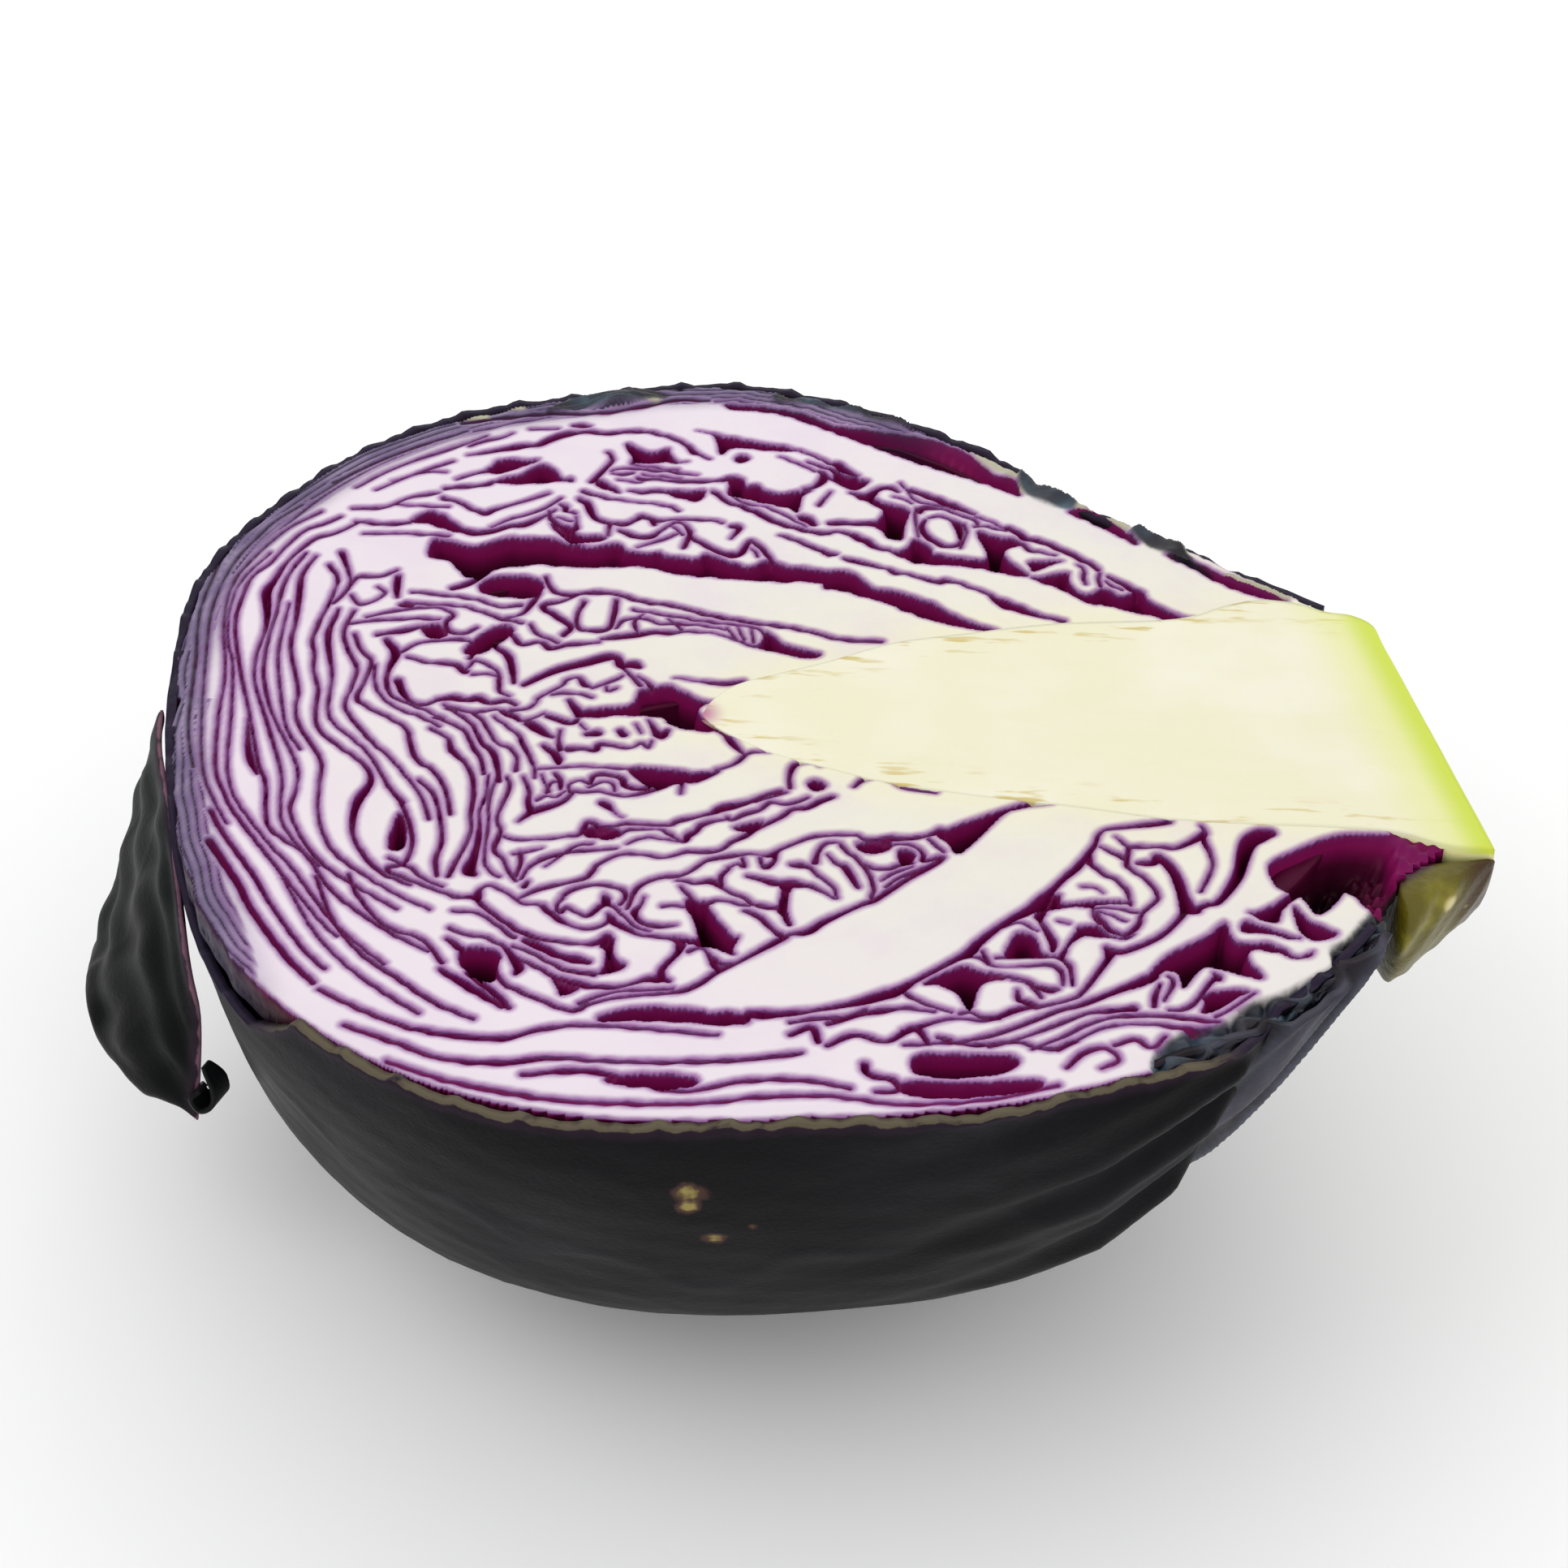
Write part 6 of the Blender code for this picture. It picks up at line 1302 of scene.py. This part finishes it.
        ((-674, 420, 5), (-700, 394, 6), (-726, 380, 5), (-746, 346, 5), (-760, 306, 5), (-766, 276, 8),
         (-772, 245, 13), (-764, 206, 10), (-758, 160, 5), (-759, 100, 4), (-750, 40, 4), (-716, -50, 5),
         (-680, -150, 4), (-670, -210, 4), (-660, -250, 4), (-630, -296, 4), (-600, -330, 4)),
        ((-734, 340, 4), (-747, 300, 4), (-752, 250, 5), (-750, 200, 4), (-750, 140, 4), (-744, 70, 5), (-728, 10, 5),
         (-708, -40, 4), (-664, -130, 4), (-655, -180, 4), (-656, -220, 5), (-640, -260, 4), (-616, -300, 5),
         (-580, -340, 5), (-490, -406, 4)),
        ((-719, 336, 4), (-730, 290, 6), (-726, 240, 8), (-720, 180, 5), (-716, 120, 5), (-690, 30, 5),
         (-686, -10, 4), (-674, -50, 5), (-634, -120, 5), (-627, -170, 4), (-620, -220, 4), (-604, -270, 4),
         (-575, -314, 5), (-500, -374, 4), (-450, -404, 4)),
        ((-736, 220, 3), (-734, 150, 4), (-728, 90, 4), (-704, -10, 4), (-688, -60, 4), (-664, -100, 4)),
        ((-696, 314, 6), (-680, 286, 5), (-679, 250, 4), (-690, 150, 5), (-682, 110, 5), (-676, 70, 4), (-663, 30, 5),
         (-658, -20, 5), (-648, -54, 5), (-626, -80, 5), (-576, -126, 5), (-562, -160, 8), (-572, -200, 11),
         (-572, -240, 7), (-564, -276, 5), (-540, -316, 6), (-516, -340, 6), (-480, -360, 4)),
        ((-684, 346, 8), (-670, 310, 5), (-660, 276, 4), (-666, 246, 5), (-676, 226, 5)),
        ((-666, 210, 4), (-670, 150, 8), (-650, 64, 4), (-646, 20, 4), (-642, -14, 4), (-628, -44, 4),
         (-576, -100, 4), (-536, -170, 5), (-514, -200, 7)),
        ((-644, 210, 5), (-650, 160, 5), (-636, 116, 5), (-619, 80, 5), (-619, 40, 4), (-622, 0, 4), (-608, -30, 5),
         (-570, -82, 5), (-544, -110, 4), (-496, -180, 4), (-476, -230, 5)),
        ((-634, 154, 5), (-620, 120, 5), (-602, 96, 5), (-604, 50, 4), (-608, 14, 6), (-586, -8, 5), (-536, -44, 5),
         (-524, -74, 6), (-510, -110, 6), (-484, -134, 5), (-464, -170, 5), (-450, -220, 5)),
        ((-588, 144, 8), (-572, 116, 12), (-576, 80, 6), (-574, 50, 6), (-560, 20, 5), (-510, -9, 4), (-486, -24, 4)),
        ((-596, 88, 4), (-590, 50, 4), (-576, 20, 4), (-550, -6, 4), (-520, -20, 5), (-490, -40, 4)),
        ((-560, 56, 10), (-548, 28, 8), (-534, 10, 5), (-516, 5, 6), (-504, 12, 5)),
        ((-486, 0, 5), (-464, -16, 5), (-446, -36, 5), (-430, -70, 6), (-410, -96, 8), (-396, -150, 5)),
        ((-450, -8, 5), (-434, -26, 5), (-410, -70, 4), (-392, -80, 5), (-380, -100, 4), (-378, -126, 6)),
        ((-420, -16, 4), (-386, -50, 4), (-376, -70, 6), (-356, -116, 4), (-352, -140, 4)),
        ((-500, -22, 5), (-476, -32, 5), (-454, -50, 5), (-440, -80, 6), (-426, -106, 5), (-418, -136, 5)),
        ((-500, -46, 5), (-476, -64, 4), (-466, -90, 8), (-446, -114, 5), (-432, -144, 6), (-426, -180, 6),
         (-424, -220, 5), (-420, -260, 4), (-436, -340, 6)),
        ((-500, -154, 5), (-478, -180, 5), (-464, -220, 5), (-454, -270, 5), (-456, -310, 6), (-450, -340, 5)),
        ((-516, -200, 5), (-500, -240, 6), (-490, -280, 5), (-494, -316, 5), (-514, -330, 6), (-490, -346, 5),
         (-424, -378, 5)),
        ((-514, -310, 5), (-486, -326, 5), (-466, -346, 4), (-440, -360, 4)),
        ((-800, 450, 4), (-830, 400, 4), (-848, 340, 5), (-856, 220, 4), (-850, 150, 4), (-840, 90, 5),
         (-823, -40, 4), (-810, -100, 4), (-796, -145, 4)),
        ((-760, 460, 4), (-795, 410, 3), (-820, 350, 4), (-835, 290, 3), (-840, 220, 4), (-835, 150, 4),
         (-806, -40, 3), (-782, -150, 4), (-756, -210, 4), (-730, -256, 4)),
        ((-730, 445, 4), (-770, 400, 3), (-800, 340, 3), (-820, 280, 4), (-823, 220, 3), (-814, 150, 4),
         (-800, 90, 4), (-790, 30, 4), (-785, -30, 4), (-768, -140, 5), (-746, -194, 5), (-716, -246, 5),
         (-590, -420, 4), (-555, -460, 4)),
        ((-784, 340, 3), (-812, 270, 3), (-815, 200, 3), (-804, 130, 4), (-788, 80, 4), (-770, -20, 4),
         (-756, -120, 4), (-744, -170, 4), (-724, -214, 4), (-666, -296, 4), (-634, -334, 4), (-570, -426, 5),
         (-530, -470, 4), (-490, -506, 4)),
        ((-744, -40, 3), (-734, -94, 7), (-724, -126, 9), (-710, -154, 4)),
        ((-756, -230, 7), (-734, -270, 6), (-676, -356, 6), (-650, -400, 5), (-596, -480, 5), (-560, -520, 5)),
        ((-746, -290, 10), (-694, -370, 9), (-670, -414, 8), (-610, -500, 8), (-570, -544, 7)),
        ((-600, -350, 5), (-565, -430, 5), (-520, -490, 5), (-470, -530, 6), (-420, -570, 6), (-370, -596, 5)),
        ((-560, -344, 5), (-540, -386, 5), (-500, -436, 5), (-450, -460, 5), (-420, -500, 6)),
        ((-640, -356, 4), (-586, -450, 4), (-540, -506, 4), (-490, -550, 5), (-436, -590, 5)),
        # near side, between the last leaves and the rim
        ((-560, -556, 6), (-500, -590, 6), (-440, -616, 7), (-380, -626, 9), (-330, -626, 8), (-280, -606, 6),
         (-220, -598, 5), (-80, -606, 5)),
        ((-520, -616, 6), (-450, -644, 7), (-400, -664, 6), (-330, -668, 9), (-270, -656, 7), (-200, -658, 5),
         (-120, -654, 6), (-40, -644, 6), (20, -630, 6)),
        ((-460, -674, 6), (-390, -700, 6), (-320, -716, 8), (-250, -726, 6), (-170, -726, 6), (-90, -720, 5),
         (-20, -706, 6), (60, -700, 5), (140, -708, 5), (240, -694, 5), (320, -666, 5)),
        ((-300, -686, 6), (-220, -676, 9), (-120, -702, 5), (-40, -680, 6), (30, -676, 6), (80, -686, 5)),
        ((95, -645, 9), (100, -660, 8), (130, -670, 8), (135, -685, 7), (110, -690, 5)),
        ((6, -600, 6), (30, -586, 9), (40, -610, 6)),
        ((50, -616, 5), (80, -596, 7), (120, -604, 6), (150, -580, 9), (170, -606, 5)),
        ((180, -594, 6), (220, -604, 6), (270, -596, 5), (310, -606, 5), (340, -590, 7)),
        ((330, -636, 5), (350, -610, 7), (376, -600, 5), (390, -620, 5), (370, -636, 4)),
        ((386, -594, 5), (410, -584, 7), (430, -596, 5), (446, -576, 5)),
        # far side: the lines between the first leaf, the outer one and the ruffle
        ((-560, 690, 8), (-450, 720, 8), (-350, 732, 7), (-250, 772, 8), (-200, 774, 6)),
        ((-690, 510, 4), (-640, 564, 4), (-520, 656, 4)),
        ((-726, 520, 4), (-670, 580, 4), (-600, 634, 4)),
        ((-750, 476, 3), (-700, 546, 3), (-630, 614, 4), (-550, 668, 4)),
        ((-660, 506, 4), (-610, 550, 4), (-560, 586, 4)),
        ((-686, 456, 5), (-640, 464, 6), (-610, 488, 5), (-570, 504, 5)),
        ((-676, 424, 6), (-630, 420, 7), (-600, 426, 6)),
        ((-660, 394, 4), (-600, 398, 4), (-540, 396, 5)),
        ((-640, 530, 3), (-596, 556, 4), (-566, 558, 3)),
        ((-630, 470, 3), (-550, 468, 4)),
    ),
    "pockets": (
        # far side
        ((0, 588), (16, 578), (50, 574), (36, 550), (24, 552), (0, 572)),
        ((74, 520), (106, 506), (112, 494), (106, 464), (104, 430), (96, 424), (84, 430), (72, 450), (64, 460),
         (74, 490), (70, 504), (40, 526), (34, 536), (50, 534)),
        ((86, 398), (102, 400), (112, 410), (122, 430), (144, 410), (150, 396), (200, 386), (220, 385), (224, 400),
         (210, 452), (240, 442), (260, 440), (270, 430), (270, 420), (254, 414), (248, 404), (252, 388), (276, 360),
         (282, 348), (260, 349), (200, 365), (140, 369), (120, 373)),
        ((282, 380), (294, 386), (330, 387), (316, 378), (290, 360), (286, 370)),
        ((286, 344), (302, 348), (336, 362), (338, 344), (344, 326), (354, 314), (368, 312), (384, 326), (394, 322),
         (410, 310), (434, 322), (444, 312), (450, 298), (490, 268), (510, 262), (506, 253), (490, 248), (474, 252),
         (456, 264), (430, 270), (386, 286), (368, 287), (330, 318)),
        ((0, 340), (26, 346), (44, 336), (60, 314), (80, 304), (100, 301), (154, 274), (170, 258), (210, 232),
         (240, 218), (220, 216), (160, 232), (110, 256), (90, 270), (20, 299), (0, 302)),
        # near side
        ((314, -152), (290, -150), (265, -160), (200, -198), (170, -222), (182, -236), (194, -256), (206, -248),
         (250, -180), (274, -164)),
        ((324, -330), (328, -344), (380, -336), (410, -337), (406, -342), (370, -344), (362, -350), (330, -352),
         (306, -362), (300, -378), (292, -370), (314, -330)),
        ((346, -387), (370, -384), (378, -394), (396, -404), (414, -396), (400, -408), (370, -404), (350, -406),
         (334, -424), (328, -444), (322, -442), (342, -398)),
        ((274, -402), (286, -402), (296, -418), (300, -434), (310, -440), (324, -440), (316, -446), (300, -444),
         (258, -448), (266, -412)),
        ((160, -499), (204, -468), (240, -480), (260, -487), (240, -492), (226, -504), (216, -544), (200, -516),
         (180, -504)),
        ((640, -262), (616, -298), (590, -328), (566, -346), (554, -349), (586, -366), (596, -340), (616, -316),
         (626, -324), (640, -346), (664, -320), (680, -280), (660, -250)),
        ((610, -334), (630, -360), (660, -380), (640, -394), (618, -384)),
        ((544, -374), (552, -364), (570, -372), (614, -392), (604, -394), (580, -386), (548, -384)),
        ((524, -368), (529, -388), (538, -402), (556, -405), (574, -402), (590, -410), (604, -423), (616, -424),
         (628, -416), (624, -426), (606, -429), (584, -420), (560, -415), (550, -424), (552, -440), (566, -466),
         (550, -467), (534, -460), (500, -451), (488, -460), (470, -490), (466, -469), (452, -459), (442, -466),
         (436, -478), (406, -496), (426, -474), (452, -434), (500, -396)),
        ((494, -502), (510, -492), (548, -490), (536, -500), (506, -528), (490, -534), (494, -516)),
        ((-210, 690), (-122, 667), (-60, 651), (2, 612), (28, 592), (10, 598), (-44, 638), (-72, 645), (-98, 643),
         (-130, 649), (-157, 645), (-170, 630), (-182, 676)),
        ((-310, 650), (-300, 644), (-279, 630), (-263, 631), (-248, 640), (-244, 625), (-232, 609), (-216, 606),
         (-229, 602), (-248, 605), (-260, 600), (-294, 598), (-300, 597), (-298, 613), (-310, 640)),
        ((-344, 553), (-335, 550), (-307, 522), (-323, 525), (-344, 538)),
        ((-491, 538), (-479, 550), (-457, 559), (-441, 578), (-426, 588), (-407, 572), (-394, 550), (-382, 554),
         (-379, 544), (-391, 544), (-451, 534), (-482, 534)),
        ((-501, 581), (-491, 597), (-451, 599), (-435, 600), (-441, 591), (-482, 563), (-510, 563)),
        ((-141, 573), (-132, 566), (-129, 553), (-123, 550), (-110, 553), (-101, 541), (-85, 534), (-69, 534),
         (-32, 544), (-44, 528), (-48, 490), (-51, 486), (-63, 497), (-98, 506), (-135, 519), (-151, 525),
         (-151, 550), (-154, 566)),
        ((-48, 475), (-32, 478), (-19, 456), (-29, 456)),
        ((-148, 620), (-142, 630), (-132, 629), (-127, 620), (-134, 611), (-144, 611)),
        ((-248, 531), (-210, 532), (-188, 534), (-185, 525), (-191, 509), (-204, 506), (-235, 519)),
        ((-398, 438), (-385, 428), (-372, 425), (-366, 428), (-357, 412), (-319, 409), (-319, 400), (-335, 394),
         (-351, 388), (-366, 391), (-391, 422)),
        ((-560, 386), (-541, 387), (-504, 375), (-485, 381), (-451, 401), (-435, 400), (-391, 400), (-372, 390),
         (-332, 383), (-298, 393), (-285, 378), (-260, 372), (-238, 375), (-229, 369), (-185, 364), (-172, 376),
         (-157, 369), (-116, 349), (-98, 353), (-91, 362), (-76, 362), (-48, 350), (-23, 350), (-4, 344), (21, 344),
         (40, 334), (40, 300), (18, 309), (-29, 316), (-76, 313), (-200, 322), (-254, 338), (-341, 331), (-404, 334),
         (-429, 328), (-457, 322), (-482, 300), (-500, 298), (-510, 310), (-530, 336), (-560, 346)),
        ((-276, -234), (-233, -237), (-239, -256), (-264, -256), (-276, -249)),
        ((-89, -224), (-58, -209), (-52, -212), (-70, -231)),
        ((68, -246), (93, -240), (111, -240), (108, -256), (80, -265)),
        ((122, -256), (136, -254), (143, -265), (136, -278), (124, -281)),
        ((-26, -331), (-7, -331), (-11, -346), (-11, -381), (-4, -406), (-11, -403), (-17, -387), (-23, -378),
         (-20, -343)),
        ((-133, -362), (-120, -368), (-111, -368), (-104, -387), (-76, -428), (-67, -431), (-73, -453), (-70, -465),
         (-95, -453), (-123, -449), (-133, -443), (-154, -437), (-139, -435), (-123, -437), (-117, -431),
         (-126, -399), (-137, -378)),
        ((-239, -360), (-229, -374), (-233, -384), (-240, -379)),
        ((-233, -449), (-220, -440), (-217, -468), (-211, -481), (-201, -487), (-204, -499), (-233, -509),
         (-226, -496), (-226, -468), (-233, -459)),
        ((-287, -513), (-273, -524), (-251, -534), (-270, -549), (-276, -537)),
        ((-401, -474), (-379, -468), (-361, -471), (-351, -484), (-353, -499), (-351, -515), (-358, -531),
         (-389, -512), (-401, -493)),
        ((-220, -580), (-179, -563), (-108, -563), (-92, -569), (-70, -564), (-48, -569), (-46, -584), (-80, -588),
         (-140, -586), (-190, -588), (-220, -590)),
        ((-74, 196), (-58, 178), (-40, 164), (2, 150), (-14, 138), (-70, 153), (-90, 159), (-80, 170)),
        ((-315, -6), (-290, 10), (-260, 16), (-240, 26), (-234, 54), (-220, 60), (-194, 66), (-154, 39), (-134, 34),
         (-146, 27), (-153, 14), (-146, 1), (-132, -6), (-126, -22), (-138, -30), (-174, -24), (-190, -15),
         (-198, -5), (-246, -2), (-296, -10)),
        ((-230, -112), (-200, -109), (-140, -116), (-114, -112), (-142, -136), (-170, -142), (-200, -150),
         (-228, -124)),
        ((0, -130), (6, -122), (16, -124), (24, -134), (16, -144), (6, -142)),
        ((-480, 280), (-464, 300), (-430, 306), (-400, 300), (-390, 278), (-406, 254), (-440, 254), (-470, 260)),
        ((-546, 176), (-524, 186), (-508, 162), (-528, 152)),
        ((-514, -220), (-502, -250), (-500, -290), (-518, -290), (-520, -250)),
        ((-480, 126), (-454, 124), (-420, 170), (-430, 190), (-460, 170)),
        ((-600, 430), (-576, 458), (-558, 446), (-540, 420), (-516, 406), (-540, 410), (-570, 424)),
        ((154, -626), (200, -620), (270, -620), (264, -644), (210, -660), (156, -656)),
        ((144, -670), (220, -666), (296, -658), (290, -676), (200, -694), (144, -690)),
        ((-200, -684), (-150, -674), (-100, -678), (-104, -694), (-150, -698), (-196, -694)),
        ((100, 635), (220, 574), (248, 558), (270, 549), (260, 590), (240, 596), (224, 610), (196, 650), (170, 670),
         (130, 690), (40, 710), (-10, 720), (-50, 746), (-100, 760), (-170, 766), (-160, 752), (-100, 746),
         (-50, 724)),
        ((340, 508), (370, 486), (410, 454), (436, 434), (426, 458), (388, 502), (370, 516), (350, 520)),
        ((476, 410), (510, 382), (550, 346), (600, 318), (640, 310), (600, 340), (550, 370), (510, 400)),
        ((585, -255), (620, -225), (660, -198), (700, -188), (790, -190), (840, -200), (840, -300), (780, -360),
         (740, -354), (718, -348), (700, -332), (686, -310), (660, -296), (640, -312), (610, -310), (590, -294)),
    ),
    "skins": (
        ((266, 586), (280, 610), (320, 590), (346, 546), (350, 524), (330, 516), (300, 532), (276, 554)),
        ((426, 466), (460, 476), (490, 450), (510, 406), (540, 370), (466, 418), (440, 440)),
        ((-440, 730), (-360, 794), (-310, 800), (-260, 784), (-290, 770), (-330, 750), (-380, 740)),
        ((-100, 776), (-40, 770), (10, 754), (50, 734), (120, 714), (70, 760), (0, 790), (-90, 804)),
        ((730, -320), (700, -344), (674, -386), (650, -410), (650, -440), (624, -462), (590, -490), (546, -514),
         (516, -546), (464, -570), (436, -600), (430, -634), (470, -650), (560, -600), (640, -520), (710, -440),
         (760, -360)),
    ),
    "paleEdges": (
        ((204, 660), (216, 640), (230, 620), (250, 606), (270, 598), (276, 580), (276, 560)),
        ((340, 560), (350, 530), (370, 524), (388, 514), (406, 490), (420, 476)),
        ((560, 360), (600, 340), (640, 320)),
        ((-310, 780), (-280, 774)), ((-510, 736), (-480, 736)), ((-560, 706), (-530, 706)),
    ),
}
drawing = {kind: [np.array(line) / 10 for line in drawn] for kind, drawn in drawing.items()}

grids = {}
for k, (name, line) in enumerate(lines.items()):
    grids[name] = [ribbon(line * [1, 1, innerSheet["width"]], 200 + k)]
names = [*lines, *face["foldLines"]]
owners = [*lines.values(), *(smoothCurve(points, 1.0) for points in face["foldLines"].values())]
points, marks, keep, floorHeight = cutLattice()
size = face["block"]
rows, columns = ((n - 1) // size for n in keep.shape)
middle = points[size // 2:rows * size:size, size // 2:columns * size:size]
inFace = keep[:rows * size, :columns * size].reshape(rows, size, columns, size).all(axis=(1, 3))
owner = ownerOf(middle[..., 0], middle[..., 1], owners)
whole = slice(rows * size + 1), slice(columns * size + 1)
points, floorHeight = points[whole], floorHeight[whole]
marks = {name: value[whole] for name, value in marks.items()}
for k, name in enumerate(names):
    blocks = inFace & (owner == k)
    if blocks.any():
        grids.setdefault(name, []).append(faceBlocks(points, marks, floorHeight, blocks))
print("cut face worked out")

slots = {name: "flesh" for name in lines}
slots.update({name: "layer" for name in (*face["foldLines"], "outer_leaf", "wrapper_leaf_far", "heart_leaf")
              if name not in rooted})
materialOf = {"outer_leaf": cutOuter, "wrapper_leaf_far": cutOuter}
for name, made in grids.items():
    material = materialOf.get(name, cutInner if slots[name] == "flesh" else cutMargin)
    makePiece("cut_" + name, (name,), material, made)
makePiece("cut_stalk", ("stalk",), cutStalkMaterial(), [stalkGrid()])
makePiece("old_leaf_base", ("leaf_base_stub",), leafBaseMaterial(), [stubGrid()])
makePiece("wrapper_round_back", ("wrapper_leaf_near",), darkLeaf, wrapperGrids())
makePiece("wrapper_beside_stem", ("wrapper_leaf_stem",), stemLeaf, stemLeafGrids())
makePiece("loose_outer_leaf", ("loose_leaf",), looseLeaf, looseLeafGrids())
meshes = [o.data for o in bpy.data.objects if o.type == "MESH"]
print("pieces made:", sum(len(m.loops) - 2 * len(m.polygons) for m in meshes), "triangles")


floorSize = 1.6
floorMesh = bpy.data.meshes.new("table_top")
half = floorSize / 2
floorMesh.from_pydata([(-half, -half, 0), (half, -half, 0), (half, half, 0), (-half, half, 0)], [], [(0, 1, 2, 3)])
floorMesh.materials.append(floorMaterial())
floor = bpy.data.objects.new("table_top", floorMesh)
bpy.context.scene.collection.objects.link(floor)


def aimed(name, data, place, aim):
    # links a light or camera that looks from its place at its aim
    made = bpy.data.objects.new(name, data)
    made.location = place
    made.rotation_euler = mathutils.Vector(np.array(aim) - place).to_track_quat("-Z", "Y").to_euler()
    bpy.context.scene.collection.objects.link(made)
    return made


def areaLight(name, place, aim, size, power):
    light = bpy.data.lights.new(name, "AREA")
    light.shape = "DISK"
    light.size = size
    light.energy = power
    aimed(name, light, place, aim)


areaLight("key", (-0.45, -0.25, 0.75), (0, 0, 0.04), 0.55, 1.1)
areaLight("fill", (0.6, -0.5, 0.5), (0, 0, 0.04), 0.7, 0.4)
areaLight("back", (0.1, 0.7, 0.6), (0, 0, 0.05), 0.6, 0.5)
world = bpy.data.worlds.new("white room")
world.use_nodes = True
world.node_tree.nodes["Background"].inputs["Color"].default_value = (1, 1, 1, 1)
world.node_tree.nodes["Background"].inputs["Strength"].default_value = 0.98
bpy.context.scene.world = world
bpy.context.scene.view_settings.view_transform = "Standard"

view = {"lens": 75, "distance": 0.42, "pitch": 39, "azimuth": 3.5, "aim": (0.006, -0.0135, 0.0775)}
pitch, azimuth = math.radians(view["pitch"]), math.radians(view["azimuth"])
away = np.array([math.sin(azimuth) * math.cos(pitch), -math.cos(azimuth) * math.cos(pitch), math.sin(pitch)])
camera = aimed("camera", bpy.data.cameras.new("camera"), view["aim"] + view["distance"] * away, view["aim"])
camera.data.lens = view["lens"]
camera.data.sensor_width = 36
bpy.context.scene.camera = camera
